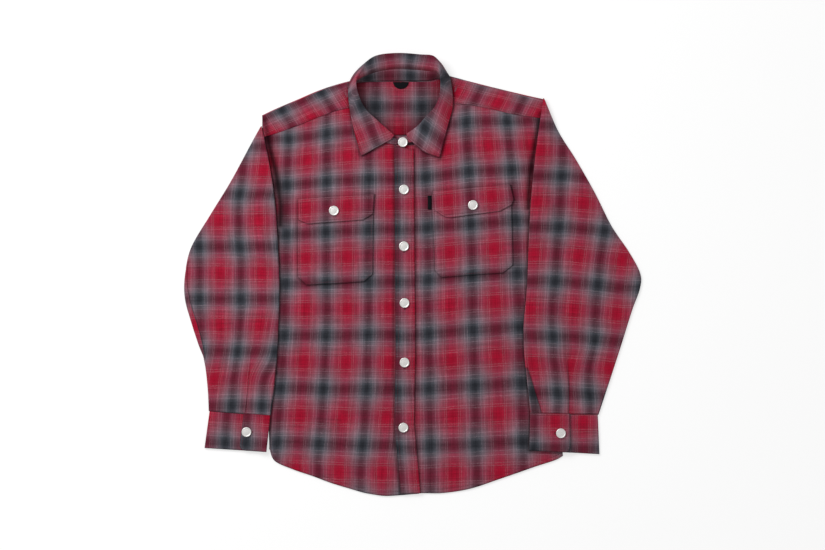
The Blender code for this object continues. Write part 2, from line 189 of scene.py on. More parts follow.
# The stand's two ends, each as pairs of a low and a high point.
STAND_END_RIGHT = (((-10, 233.5, 5.4), (-12, 238, 5.4)), ((-24, 233, 5.4), (-24, 243, 5.4)))
STAND_END_LEFT = (((-22, 236, 7.5), (-21, 247.5, 7.5)), ((-32, 233.5, 7.5), (-31, 241.5, 7.5)))
LEAF_FOLD_RADIUS = 1.8
LEAF_OVER_STAND = 0.5
LEAF_LIFT = 0.8
LEAF_CROWN = 0.05
LEAF_CROWN_MOST = 1.6
SECTION_STEPS = 9
LEAF_FOLD_STEPS = 9
LEAF_FLAT_STEPS = 17
STAND_STEPS = 10
END_STEPS = 14

# A section of a sleeve from armhole to cuff: its outer and inner folds, how far it bows towards the body, and
# how far the upper cloth's fold stands back from the silhouette at the outer and at the inner side.
Station = namedtuple("Station", "outer_x outer_y inner_x inner_y bow outer_ledge inner_ledge")
SLEEVES = {
    "right": table(
        Station,
        (-271, 266, -241, 20, 7, 0, 0), (-290, 232, -240.5, 2, 5, 0, 0), (-326, 165, -240, -18, 3, 0, 0),
        (-362, 106, -240.5, -40, 1, 0, 0), (-396, 48, -241.5, -64, 0, 0, 0),
        (-408, 0, -242.5, -90, 0, 3, 0), (-409, -42, -243.5, -116, 0, 10, 0),
        (-398, -84, -245, -142, 0, 12, 0), (-385, -124, -247, -168, 0, 9, 0),
        (-372, -158, -249, -193, 0, 0, 0), (-366, -206, -253, -227, 0, 0, 0),
        (-364, -245.7, -257, -254, 0, 0, 0),
    ),
    "left": table(
        Station,
        (236, 316.5, 208, 0, -6, 0, 0), (262, 256, 207, -20, -5, 0, 0), (293, 206, 206, -38, -3, 0, 0),
        (327, 146, 204.5, -56, -1, 0, 0), (357, 86, 203, -74, 0, 0, 0), (388, 40, 202, -93, 0, 0, 0),
        (408, 2, 202, -115, 0, 0, 0), (408, -25, 203, -138, 0, 0, 0), (394, -64, 205, -162, 0, 0, 0),
        (376, -121, 207, -192, 0, 0, 8), (355, -186, 210, -222, 0, 0, 14),
        (333, -252, 213, -250, 0, 0, 20),
    ),
}
SLEEVE_LOFT = 3.2
SLEEVE_PUFF = 1.2
SLEEVE_SPANS = 66
TURN_STEPS = 6
# Share of the first span over which the sleeve's end rolls up, and its loft at the very end.
END_ROLL = 0.16
END_LOFT = 0.35
# A sleeve comes down from the body to the surface between these distances past the body's side.
RAMP_START = 6.0
RAMP_END = 30.0
# A stepped-back fold shows this much of the lower layer, which lies this far along the check.
LEDGE_LAYER = 1.4
LEAST_LEDGE = 1.0
LEDGE_SHIFT = {"right": 0.42, "left": 0.55}
# The fold that runs up from each cuff: its share of the sleeve's width from the outer fold at the top and at
# the cuff, the station it starts from, its height, and how much cloth it takes in, in repeats of the check.
Pleat = namedtuple("Pleat", "top_share cuff_share first height taken")
PLEATS = {
    "right": Pleat(0.685, 0.589, 6.8, 1.5, 0.25),
    "left": Pleat(0.63, 0.52, 8.2, 1.5, 0.24),
}
PLEAT_SOFTNESS = 0.024
PLEAT_REACH = 0.12

Cuff = namedtuple("Cuff", "outer_top inner_top outer_end inner_end lap")
CUFFS = {
    "right": Cuff((-364, -246.3), (-256, -254.8), (-373, -312), (-263, -319), 0.56),
    "left": Cuff((333, -252.6), (213, -250.6), (336, -323), (211, -316), 0.41),
}
CUFF_LAP_UNDER = 0.16
CUFF_LAYER = 2.5
CUFF_ROWS = 27
CUFF_TOP_POINTS = 22
# The cuff's top edge covers the end of the sleeve by this share of its length.
CUFF_OVER_SLEEVE = 0.03
CUFF_CORNER = 11.0
CUFF_PUFF = 0.5
CUFF_TURN = 0.02

# The lower edge of each pocket and flap, point by point, and the two ends of its upper edge.
POCKETS = {
    "right": (((-206, -4), (-190, -19), (-87, -13), (-71, 1)), ((-206, 132), (-70, 141))),
    "left": (((41, 7), (53, -5), (163, 3), (181, 17)), ((35, 146), (178, 159))),
}
FLAPS = {
    "right": (((-205, 98), (-189, 91), (-89, 98), (-71, 109)), ((-206, 137), (-68, 146))),
    "left": (((40, 116), (57, 104), (68, 102), (158, 114), (178, 125), (182, 136)), ((36, 151), (176, 163))),
}
SIDE_TAB = (28, 34.5, 117, 142)
LABEL_CENTRE = (-20.5, 346.5)
LABEL_RADIUS = 14.0
LABEL_FLATNESS = 0.9
TAPE = 1.0

# A button's cap from its centre to the middle of its underside, as (radius, height).
BUTTON_PROFILE = ((0, 3.35), (3, 3.3), (5.6, 3.12), (6.5, 3.05), (7.1, 3.3), (7.8, 3.5), (8.3, 3.3),
                  (8.65, 2.9), (8.8, 2.3), (8.6, 1.7), (8.0, 1.35), (2.2, 1.2), (2.2, 0.1), (0, 0))
BUTTON_SIDES = 64
BUTTONS = [f"button_front_{number}" for number in range(1, 7)]
BUTTONS += ["button_flap_right", "button_flap_left", "button_cuff_right", "button_cuff_left"]

STITCH_PITCH = 3.2
STITCH_LENGTH = 2.3
STITCH_RADIUS = 0.32
STITCH_SIDES = 5
STITCH_LIFT = 0.05
# Distance from a piece's edge to its line of stitches.
PATCH_STITCHING = 3.5
EDGE_STITCHING = 5.0
CUFF_STITCHING = 4.0

HOLE_LENGTH = 20.0
HOLE_OFFSET = 1.6
HOLE_WIDTH = 1.0
HOLE_BORDER = 1.5
HOLE_PITCH = 0.75
HOLE_BAR = 1.8
HOLE_LIFT = 0.1
HOLE_RADII = {"border": 0.34, "bar": 0.4, "slit": 0.45}

# ---- the check ----

UPRIGHT_BANDS = {
    "front_right": {
        240: (-223, -154, -79), 170: (-225, -154.5, -78), 0: (-228, -155, -79), -100: (-229.5, -155, -79.5),
        -200: (-237, -159.5, -82), -300: (-243, -167, -89), -340: (-246, -170, -93),
    },
    "front_left": {
        278: (22, 97, 170.5), 190: (24, 101, 178.5), 90: (27.5, 105.7, 185.8), 0: (28.3, 107.5, 189.4),
        -100: (29.5, 109.3, 193), -200: (30.6, 112.3, 196.2), -330: (32.8, 115.6, 199.3),
    },
    "placket": {240: (-29.5, 47), -190: (-28.5, 49), -310: (-26, 52), -390: (-20, 58)},
    "sleeve_right": {
        250: (-300, -376), 180: (-306, -380), 134: (-312, -384), 80: (-312, -385), 22: (-308.5, -382.5),
        -55: (-308.3, -383.6), -110: (-311, -380), -140: (-314, -382), -190: (-321, -392), -240: (-325, -398),
    },
    "sleeve_left": {
        206: (270.5, 352), 161: (267.7, 350), 112: (265, 349.5), 82: (263, 347), 26: (257.8, 337.5),
        -10: (256, 334.3), -55: (252.4, 330.5), -82: (251.5, 328.5), -118: (253.3, 329), -154: (255, 331),
        -186: (258.7, 335), -226: (261.5, 338),
    },
    "back": {0: (-228, -151)},
}
ACROSS_BANDS = {
    "front_right": {
        -220: (243.9, 161.6, 72.9, -16, -109.3, -204.7, -302.2),
        -139: (254.9, 169.2, 77.4, -14.8, -109.1, -205.9, -305.3),
        -58: (262, 172.4, 81.4, -12.2, -107.5, -206.1, -306.7),
    },
    "front_left": {
        23: (266.6, 175.3, 83.2, -10.1, -106.9, -205, -309.2),
        104: (274.9, 185.4, 90.7, -2.9, -100.4, -200.9, -305.5),
        185: (277.2, 189.4, 97.2, 2.3, -94.9, -195.8, -301.7),
    },
    "placket": {0: (266, 173, 80.8, -13.1, -110.5, -208.4, -311.8)},
    "sleeve_right": {-300: (229.7, 145, 50, -44, -138, -235.6)},
    "sleeve_left": {
        239: (269, 178, 85.5, -12, -110, -212.8), 283: (266, 177.5, 84.8, -13.3, -112.7, -213.7),
        338: (262, 173, 80, -18.4, -116.8, -216.5), 383: (258, 169, 76, -23, -121, -220),
    },
    "back": {0: (264, 167)},
}
Straight = namedtuple("Straight", "u_angle u_repeat v_angle v_repeat x y")
STRAIGHT = {
    "yoke_right": Straight(33, 77, 114, 72, -235, 296),
    "yoke_left": Straight(-26.7, 76.5, 75.4, 78, 133.4, 354.2),
    "yoke_inner": Straight(0, 82, 90, 90, -65.5, 302.5),
    "leaf_right": Straight(20.9, 72, 110.9, 97, -90.5, 303.5),
    "leaf_left": Straight(-20, 75.6, 52, 97, 22.5, 263.5),
    "cuff_right": Straight(-3, 76, 86, 97, -336, -303),
    "cuff_right_top": Straight(-3, 76, 86, 97, -299, -303),
    "cuff_left": Straight(0, 77, 90, 97, 346, -314),
    "cuff_left_top": Straight(0, 77, 90, 97, 219, -312),
}
# Where the check starts at the middle of the leaf and of the stand, and the sections where the leaf's check
# turns from its points to its back.
LEAF_WEAVE_AT = (0.72, 0.30)
STAND_WEAVE_AT = (0.73, 0.90)
LEAF_BACK = (4, 14)
LEAF_BLEND = 2
STAND_FRONT_Y = 246.0

# sRGB shades of the check, from the middle of a dark band (0) to the middle of the red between two (0.5).
SHADES = ((0, (39, 41, 47)), (0.045, (48, 50, 56)), (0.10, (82, 82, 90)), (0.155, (114, 99, 108)),
          (0.20, (132, 95, 106)), (0.25, (135, 80, 92)), (0.32, (142, 56, 72)), (0.40, (149, 34, 54)),
          (0.46, (154, 19, 45)), (0.5, (156, 15, 42)))
# Warp and weft cross mostly as one dye over the other, and by this share as threads side by side.
SIDE_BY_SIDE = 0.38
PALE_STRIPES = (0.13, 0.20, 0.33, 0.37)
PALE_WIDTH = 0.008
PALE_SHADE = (188, 166, 176)
PALE_SHARE = 0.17
THREAD_SHADE = (96, 34, 46)
TAPE_SHADE = (13, 13, 17)
METAL_SHADE = (240, 238, 235)
FLOOR_SHADE = (178, 178, 178)
FLOOR_GLOW = 0.60
FLANNEL_SLOT = "flannel"
TAPE_SLOT = "label_tape"

# ---- creases and painted shade ----

# A crease: the line it follows over the cloth, its half width, and how deep it is (a ridge is negative).
Crease = namedtuple("Crease", "line width depth")
FRONT_CREASES = table(
    Crease,
    (((-264, 270), (-257, 240), (-250, 218), (-245.5, 190), (-245, 160), (-247, 120)), 8, 1.7),
    (((-246, 232), (-238, 205), (-233, 178), (-235, 140)), 7, -0.8),
    (((-243, 30), (-232, 12), (-216, 2)), 5, 0.8), (((-240, -60), (-225, -52), (-205, -56)), 9, 0.5),
    (((-212, 60), (-222, -40), (-226, -150), (-236, -270)), 16, 0.7),
    (((-160, 250), (-186, 215), (-222, 192)), 12, 0.6),
    (((-100, 240), (-128, 214), (-150, 170)), 10, 0.45),
    (((-118, -40), (-124, -150), (-138, -330)), 18, 0.5),
    (((-60, -60), (-56, -160), (-62, -300)), 13, -0.5),
    (((-200, -200), (-170, -222), (-120, -232)), 12, 0.45),
    (((-180, -372), (-176, -340), (-182, -300)), 9, 0.7),
    (((-100, -396), (-96, -360), (-104, -320)), 8, 0.55),
    (((206, 262), (214, 225), (216, 190), (212, 150)), 8, 1.2),
    (((196, 250), (203, 215), (204, 170)), 6, -0.6), (((170, 240), (188, 200), (206, 176)), 10, 0.6),
    (((90, 262), (112, 224), (128, 190)), 11, 0.5),
    (((198, 20), (186, -60), (190, -160), (206, -260)), 15, 0.6),
    (((70, -40), (76, -150), (66, -300)), 17, 0.5), (((130, -60), (138, -180), (150, -330)), 14, -0.5),
    (((60, -210), (110, -196), (170, -188)), 12, 0.4), (((120, -380), (116, -340), (122, -290)), 9, 0.6),
    (((220, -346), (212, -310), (214, -270)), 8, 0.6), (((20, -40), (22, -160), (18, -300)), 7, 0.4),
    (((-42, 160), (-40, 60), (-41, -60)), 6, 0.4),
)
YOKE_CREASES = table(
    Crease,
    (((-126, 340), (-120, 328), (-116, 316)), 4, 1.3), (((-114, 347), (-112, 338), (-111, 328)), 3, 1.2),
    (((-200, 312), (-190, 298), (-176, 290)), 7, 0.5), (((84, 350), (78, 334), (72, 318)), 6, 1.0),
    (((150, 332), (156, 318), (168, 304)), 8, 0.5),
)
SLEEVE_CREASES = {
    "right": table(
        Crease,
        (((-326, 146), (-316, 120), (-303, 92), (-300, 60)), 8, 1.1),
        (((-300, 150), (-296, 110), (-284, 70), (-286, 20)), 10, -0.7),
        (((-268, 236), (-262, 190), (-258, 130), (-252, 60)), 7, 0.8),
        (((-394, 30), (-370, 8), (-340, -6)), 9, 0.8), (((-400, -30), (-372, -44), (-335, -48)), 8, 0.7),
        (((-385, -80), (-350, -84), (-318, -76)), 8, -0.6),
        (((-262, -20), (-275, -70), (-290, -120)), 9, 0.7),
        (((-340, -100), (-334, -150), (-330, -200)), 9, 0.8),
        (((-356, -230), (-350, -190), (-354, -150)), 6, 0.7),
        (((-276, -250), (-272, -215), (-266, -175)), 6, 0.8),
        (((-322, -246), (-318, -215), (-312, -180)), 5, -0.6),
    ),
    "left": table(
        Crease,
        (((246, 270), (262, 238), (283, 214)), 9, 0.9), (((236, 262), (240, 215), (236, 160)), 8, 0.8),
        (((232, 100), (240, 40), (232, -20)), 9, 0.6), (((300, 160), (296, 100), (304, 30)), 13, -0.7),
        (((330, 130), (326, 80), (338, 20)), 9, 0.6), (((398, 30), (366, 4), (320, -10)), 10, 0.8),
        (((402, -16), (372, -34), (330, -36)), 8, 0.6), (((384, -70), (350, -84), (310, -80)), 9, -0.6),
        (((222, -60), (246, -100), (258, -140)), 9, 0.7),
        (((342, -110), (330, -160), (322, -210)), 9, 0.8),
        (((246, -160), (250, -200), (248, -240)), 7, 0.7),
        (((340, -236), (332, -200), (338, -160)), 6, 0.7),
        (((300, -246), (303, -215), (300, -180)), 5, 0.6),
    ),
}
BACK_CREASES = table(
    Crease,
    (((-180, 230), (-160, 120), (-170, -20)), 20, -0.4), (((-60, 240), (-40, 100), (-50, -120)), 22, 0.4),
    (((90, 236), (110, 90), (96, -90)), 20, -0.4), (((-150, -60), (-130, -200), (-140, -330)), 18, 0.4),
    (((60, -80), (80, -220), (70, -350)), 18, 0.4),
)
CREASE_STEPS = 24
CREASE_STRENGTH = 1.8
# A front sinks no deeper than the clearance over the layers under it.
FRONT_SINK = 1.3
# The cloth never lies quite flat: long shallow swells, as their length, direction in degrees and height.
SWELLS = ((210, 20, 0.22), (150, 105, 0.2), (95, 62, 0.13), (70, 150, 0.1), (43, 88, 0.05))

# Painted shade beside a line: how far from the line the cloth's colour is darkened, and how much.
Shade = namedtuple("Shade", "width strength")
VALLEY_PAINTED_SHADE = {"right": Shade(8.0, 0.9), "left": Shade(6.0, 0.85)}
SLEEVE_PAINTED_SHADE = Shade(5.5, 0.75)
POCKET_PAINTED_SHADE = Shade(2.6, 0.42)
COLLAR_PAINTED_SHADE = Shade(4.0, 0.45)
LAP_PAINTED_SHADE = {"right": Shade(3.2, 0.5), "left": Shade(3.0, 0.45)}
CUFF_GAP_PAINTED_SHADE = Shade(4.5, 0.9)
YOKE_VALLEY_PAINTED_SHADE = Shade(5, 0.6)
YOKE_COLLAR_PAINTED_SHADE = Shade(5, 0.5)
NECK_PAINTED_SHADE = Shade(22, 0.34)
# Painted shade, as a share of darkening: all over inside the neck, along a piece's rim, at a sleeve's two
# ends, along its opened pleat, and on the lower layer and the line of a stepped-back fold.
INSIDE_NECK_PAINTED_SHADE = 0.10
RIM_PAINTED_SHADE = 0.42
YOKE_RIM_PAINTED_SHARE = 0.7
SLEEVE_TOP_PAINTED_SHADE = 0.5
SLEEVE_END_PAINTED_SHADE = 0.45
PLEAT_PAINTED_SHADE = 0.5
LEDGE_LINE_PAINTED_SHADE = 0.65
LEDGE_PAINTED_SHADE = 0.35
# Lines beside which painted shade is laid: each armhole seam, where it is drawn in deepest, the lap of the
# fronts and the gap by the cuff.
ARMHOLE_SHADOW_LINE = {
    "right": ((-265, 278), (-256, 224), (-247, 190), (-242, 165), (-237, 125), (-238, 90)),
    "left": ((231, 289), (222, 242), (215, 200), (211, 171), (209, 120)),
}
LAP_SHADOW_LINE = ((-33, 232), (-32.5, 100), (-34, -150), (-32, -300), (-22, -394))
CUFF_GAP_SHADOW_LINE = ((-247, -135), (-248, -155), (-246, -178))

# ---- floor, light and camera ----

FLOOR_HALF = 6.0
FLOOR_Z = -0.0002
CAMERA_PLACE = (0.0004, -0.0007, 6.0)
CAMERA_LENS = 145.45
Lamp = namedtuple("Lamp", "name place power size")
LAMPS = table(Lamp, ("key", (-1.5, 1.3, 2.0), 54.0, 1.4), ("fill", (1.6, -1.2, 2.2), 4.0, 2.0))
AMBIENT = 0.47
WHITE = (1.0, 1.0, 1.0, 1.0)


# ---- lines and surfaces ----


def blend(start, end, share):
    return start + (end - start) * share


def soft_step(share):
    share = np.clip(share, 0, 1)
    return share * share * (3 - 2 * share)


def read(rows, positions):
    """Straight-line reading of (position, value) rows."""
    return np.interp(positions, [row[0] for row in rows], [row[1] for row in rows])


def curve(points, positions, corners=()):
    """A smooth curve through points, read at positions counted in points; it turns sharply at corners."""
    points = np.asarray(points, float)
    last = len(points) - 1
    leaving = []
    arriving = []
    for i in range(last):
        before = i if i == 0 or i in corners else i - 1
        after = i + 1 if i + 1 == last or i + 1 in corners else i + 2
        leaving.append((points[i + 1] - points[before]) / (i + 1 - before))
        arriving.append((points[after] - points[i]) / (after - i))
    positions = np.asarray(positions, float)
    segment = np.clip(positions.astype(int), 0, last - 1)
    t = (positions - segment)[:, None]
    start, end = points[segment], points[segment + 1]
    out, into = np.asarray(leaving)[segment], np.asarray(arriving)[segment]
    return (
        (2 * t**3 - 3 * t**2 + 1) * start + (t**3 - 2 * t**2 + t) * out
        + (3 * t**2 - 2 * t**3) * end + (t**3 - t**2) * into
    )


def even_steps(points, cell):
    """Positions along points, counted in points, about one cell apart."""
    points = np.asarray(points, float)
    found = []
    for i, length in enumerate(np.linalg.norm(np.diff(points, axis=0), axis=1)):
        count = max(1, math.ceil(length / cell))
        found += [i + k / count for k in range(count)]
    return np.array(found + [len(points) - 1.0])


def reach_along(points):
    """Distance run from the first point to each, down a line or down every column of a grid."""
    steps = np.linalg.norm(np.diff(points, axis=0), axis=-1)
    return np.concatenate([np.zeros((1, *steps.shape[1:])), np.cumsum(steps, axis=0)])


def creased(creases, x, y):
    """How far creases lift the cloth at each point."""
    lift = np.zeros(np.shape(x))
    for crease in creases:
        along = np.linspace(0, len(crease.line) - 1, CREASE_STEPS)
        deepest = np.zeros(np.shape(x))
        for number, (at_x, at_y) in enumerate(curve(crease.line, along)):
            fade = math.sin(math.pi * (number + 0.5) / CREASE_STEPS) ** 0.7
            reach = np.exp(-((x - at_x) ** 2 + (y - at_y) ** 2) / crease.width**2) * fade
            deepest = np.maximum(deepest, reach)
        lift -= CREASE_STRENGTH * crease.depth * deepest
    return lift


def swells(x, y):
    lift = np.zeros(np.shape(x))
    for number, (length, direction, height) in enumerate(SWELLS):
        angle = math.radians(direction)
        along = x * math.cos(angle) + y * math.sin(angle)
        lift += height * np.sin(2 * math.pi * along / length + number)
    return lift


def front_relief(x, y):
    return np.maximum(creased(FRONT_CREASES, x, y) + swells(x, y), -FRONT_SINK)


# ---- where a point lies on the check ----


def count_bands(chart, along, across):
    """Repeats of the check from a chart's first band to each point; along is what crosses the bands."""
    places = sorted(chart)
    bands = range(len(chart[places[0]]))
    lines = [np.interp(across, places, [chart[place][k] for place in places]) for k in bands]
    total = np.zeros(np.shape(along))
    for k in bands[:-1]:
        share = (along - lines[k]) / (lines[k + 1] - lines[k])
        low = -np.inf if k == 0 else 0
        high = np.inf if k == len(lines) - 2 else 1
        total += np.clip(share, low, high)
    return total


def panel_weave(name, x, y):
    return np.stack([count_bands(UPRIGHT_BANDS[name], x, y), count_bands(ACROSS_BANDS[name], y, x)], axis=-1)


def straight_weave(name, x, y):
    cut = STRAIGHT[name]
    found = []
    for direction, repeat in ((cut.u_angle, cut.u_repeat), (cut.v_angle, cut.v_repeat)):
        angle = math.radians(direction)
        found.append(((x - cut.x) * math.cos(angle) + (y - cut.y) * math.sin(angle)) / repeat)
    return np.stack(found, axis=-1)


# ---- cloth ----

# A patch of cloth: rows of mid-surface points, their place on the check, whether each row closes on itself,
# what to add to u in each face, and how much painted shade darkens each point.
Patch = namedtuple("Patch", "points weave closed u_shift shade", defaults=(False, None, None))


def patch_on(points, name, weave=panel_weave, shade=None):
    return Patch(points, weave(name, points[..., 0], points[..., 1]), shade=shade)


def rim_painted_shade(shape):
    """Painted shade along a turned edge, where the cloth bends away and its stitching draws it in."""
    shade = np.full(shape, RIM_PAINTED_SHADE)
    shade[1:-1, 1:-1] = 0
    return shade


def contact_painted_shade(points, line, width, strength):
    """Painted shade beside a line where one cloth rises over another."""
    x, y = points[..., 0], points[..., 1]
    line = np.asarray(line, float)
    nearest = np.full(x.shape, np.inf)
    for at_x, at_y in curve(line, even_steps(line, 2.5), range(len(line))):
        nearest = np.minimum(nearest, (x - at_x) ** 2 + (y - at_y) ** 2)
    return strength * np.exp(-nearest / width**2)


def collar_outline(part):
    return [getattr(section, part)[:2] for section in COLLAR]


def add_object(name, mesh, material):
    mesh.shade_smooth()
    mesh.materials.append(material)
    obj = bpy.data.objects.new(name, mesh)
    bpy.context.scene.collection.objects.link(obj)
    return obj


def carry(obj, node=None):
    """obj rides on the shirt's one body, in the place of its CAD node if it has one."""
    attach(obj, "root")
    if node is not None:
        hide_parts(node)
    return obj


def sew(node, patches, thickness, material, slot=FLANNEL_SLOT):
    """The cloth piece that stands for a CAD node, from its patches, given its thickness by Solidify."""
    vertices, faces, weave, shades = [], [], [], []
    for patch in patches:
        first = len(vertices)
        rows, columns = patch.points.shape[:2]
        # Painted shade: the patch's own, or else a darkened rim.
        shade = rim_painted_shade((rows, columns)) if patch.shade is None else patch.shade
        shades.append(shade.ravel())
        vertices += (patch.points.reshape(-1, 3) * MM).tolist()
        for i in range(rows - 1):
            for j in range(columns if patch.closed else columns - 1):
                k = (j + 1) % columns
                corners = ((i, j), (i, k), (i + 1, k), (i + 1, j))
                faces.append([first + row * columns + column for row, column in corners])
                shift = 0 if patch.u_shift is None else patch.u_shift[i, j]
                weave.append([patch.weave[corner] + (shift, 0) for corner in corners])
    name = node + ("_tape" if slot == TAPE_SLOT else "_cloth")
    mesh = bpy.data.meshes.new(name)
    mesh.from_pydata(vertices, [], faces)
    mesh.uv_layers.new(name="weave").data.foreach_set("uv", np.asarray(weave, np.float32).ravel())
    # The attribute "shade" carries each point's painted shade to the material.
    mesh.attributes.new("shade", "FLOAT", "POINT").data.foreach_set("value", np.concatenate(shades))
    made = bmesh.new()
    made.from_mesh(mesh)
    bmesh.ops.remove_doubles(made, verts=made.verts, dist=WELD * MM)
    made.to_mesh(mesh)
    made.free()
    obj = add_object(name, mesh, material)
    wall = obj.modifiers.new("wall", "SOLIDIFY")
    wall.thickness = thickness * MM
    wall.offset = 0
    return carry(obj, node)


# ---- body panels ----


def panel_grid(columns, corners, sides, cell):
    """x and y of a body panel's points, from the hem up, and each column's position counted in columns."""
    at = even_steps([(column.hem_x, column.hem_y) for column in columns], cell)
    hem_line = curve([(column.hem_x, column.hem_y) for column in columns], at)
    top_line = curve([(column.top_x, column.top_y) for column in columns], at, corners)
    bend = np.interp(at, range(len(columns)), [column.bend for column in columns])
    height = top_line[:, 1].max() - hem_line[:, 1].min()
    share = np.linspace(0, 1, math.ceil(height / cell) + 1)[:, None]
    x = blend(hem_line[:, 0], top_line[:, 0], share) + bend * read(PLACKET_SWING, share)
    y = blend(hem_line[:, 1], top_line[:, 1], share)
    for side in sides:
        from_side = at if side == "right" else len(columns) - 1 - at
        x += read(SIDE_BOW[side], share) * np.clip(1 - from_side / BOW_COLUMNS, 0, 1)
    return x, y, at


def hem_profile(y):
    """The hem: a low ridge that ends in the groove of its stitching, and turns down at the edge."""
    rise = y - y[:1]
    ridge = HEM_RIDGE * soft_step(rise / 2) * (1 - soft_step((rise - HEM_FOLD + 1) / 2))
    groove = HEM_GROOVE * np.exp(-((rise - HEM_FOLD) / 1.2) ** 2)
    return ridge - groove - HEM_TURN * (1 - soft_step(rise / 2.5))


def front_points(side):
    x, y, at = panel_grid(FRONTS[side], (FRONT_CORNER[side],), (side,), CELL)
    from_side = np.abs(x - (x[:, :1] if side == "right" else x[:, -1:]))
    in_neck = soft_step((x - NECK_TUCK_X[0]) / 8) * soft_step((NECK_TUCK_X[1] - x) / 8)
    y = y + NECK_TUCK * soft_step((y - NECK_TUCK_Y) / 15) * in_neck
    z = FRONT_Z + CLOTH / 2 + front_relief(x, y) + hem_profile(y)
    z -= EDGE_DROP * (1 - soft_step(from_side / EDGE_ROLL))
    if side == "left":
        z += LAP_RISE * (1 - soft_step((at - PLACKET_LAST) / 0.4))
    return np.stack([x, y, z], axis=-1), at


def sleeve_outline(side):
    """The line of the sleeve over the front: down the armhole, then along the inner fold and the cuff."""
    first = SLEEVES[side][0]
    line = []
    for share in np.linspace(0, 1, 9)[:-1]:
        x = blend(first.outer_x, first.inner_x, share) + first.bow * math.sin(math.pi * share)
        line.append((x, blend(first.outer_y, first.inner_y, share)))
    return line + [(station.inner_x, station.inner_y) for station in SLEEVES[side]] + [CUFFS[side].inner_end]


def front_painted_shade(side, points, at):
    """Painted shade beside everything that lies on a front, and along its rim."""
    lower, upper = POCKETS[side]
    band_edge = points[::8, np.argmin(np.abs(at - PLACKET_LAST)), :2]
    beside = [
        (ARMHOLE_SHADOW_LINE[side], VALLEY_PAINTED_SHADE[side]),
        (sleeve_outline(side), SLEEVE_PAINTED_SHADE),
        ([*lower, upper[1], upper[0], lower[0]], POCKET_PAINTED_SHADE),
        (collar_outline("edge"), COLLAR_PAINTED_SHADE),
        (LAP_SHADOW_LINE if side == "right" else band_edge, LAP_PAINTED_SHADE[side]),
    ]
    if side == "right":
        beside.append((CUFF_GAP_SHADOW_LINE, CUFF_GAP_PAINTED_SHADE))
    shades = [contact_painted_shade(points, line, *shade) for line, shade in beside]
    return np.max([rim_painted_shade(points.shape[:2]), *shades], axis=0)


def make_fronts(flannel):
    made = {}
    for side in SIDES:
        points, at = front_points(side)
        patch = patch_on(points, "front_" + side, shade=front_painted_shade(side, points, at))
        made["front_" + side] = sew("front_" + side, [patch], CLOTH, flannel)
        made[f"front_{side}_points"] = points
    # The band lies on the left front, which comes last.
    band = points[points[:, 0, 1] <= BAND_TOP_Y][:, at <= PLACKET_LAST].copy()
    width = band[:, :, 0] - band[:, :1, 0]
    across = width / width[:, -1:]
    edge = np.minimum(across, 1 - across) * PLACKET_WIDTH
    crown = 0.5 * soft_step(edge / 6) - 0.3 * (1 - soft_step(edge / 1.5))
    band[:, :, 2] += (CLOTH + PRESSED) / 2 + GAP + crown
    made["placket_band"] = sew("placket_band", [patch_on(band, "placket")], PRESSED, flannel)
    made["placket_band_points"] = band
    return made


def make_back(flannel):
    x, y, _ = panel_grid(BACK, (), SIDES, HIDDEN_CELL)
    z = np.full(x.shape, BACK_Z + CLOTH / 2) + np.maximum(creased(BACK_CREASES, x, y), 0)
    return {"back": sew("back", [patch_on(np.stack([x, y, z], axis=-1), "back")], CLOTH, flannel)}


# ---- yoke ----


def yoke_wing(side):
    """One shoulder of the yoke: from the back seam, round the shoulder fold, to its edge on the front."""
    fold = SHOULDERS[side]
    columns = FRONTS[side][:len(fold)] if side == "right" else FRONTS[side][-len(fold):]
    at = even_steps(fold, CELL)
    fold_line = curve(fold, at)
    seam_line = curve([(column.top_x, column.top_y) for column in columns], at)
    low, high = BACK_Z + CLOTH / 2, FRONT_Z + CLOTH / 2
    turned = fold_line[:, 1] - FOLD_RADIUS
    rows = []
    for share in np.linspace(0, 1, YOKE_ROWS_BEHIND):
        y = blend(BACK_YOKE_SEAM_Y, turned, share)
        rows.append(np.stack([fold_line[:, 0], y, np.full(len(at), low)], axis=-1))
    for angle in np.radians(np.linspace(-90, 90, FOLD_STEPS + 1)[1:-1]):
        y = turned + FOLD_RADIUS * math.cos(angle)
        z = (low + high) / 2 + (high - low) / 2 * math.sin(angle)
        rows.append(np.stack([fold_line[:, 0], y, np.full(len(at), z)], axis=-1))
    behind = len(rows)
    for share in np.linspace(0, 1, YOKE_ROWS_IN_FRONT):
        x = blend(fold_line[:, 0], seam_line[:, 0], share)
        y = blend(turned, seam_line[:, 1] - YOKE_OVERLAP, share)
        lift = YOKE_EDGE_LIFT * soft_step((share - 0.6) / 0.3) * (1 - 0.25 * soft_step((share - 0.93) / 0.07))
        relief = creased(YOKE_CREASES, x, y) * soft_step(share / 0.25)
        rows.append(np.stack([x, y, high + lift + relief], axis=-1))
    points = np.array(rows)
    weave = straight_weave("yoke_" + side, points[..., 0], points[..., 1])
    weave[:behind] = panel_weave("back", points[:behind, :, 0], points[:behind, :, 1])
    # Painted shade along the rim, beside the armhole and beside the collar's edge.
    shade = np.max([
        YOKE_RIM_PAINTED_SHARE * rim_painted_shade(points.shape[:2]),
        contact_painted_shade(points, ARMHOLE_SHADOW_LINE[side], *YOKE_VALLEY_PAINTED_SHADE),
        contact_painted_shade(points, collar_outline("edge"), *YOKE_COLLAR_PAINTED_SHADE),
    ], axis=0)
    return Patch(points, weave, shade=shade)


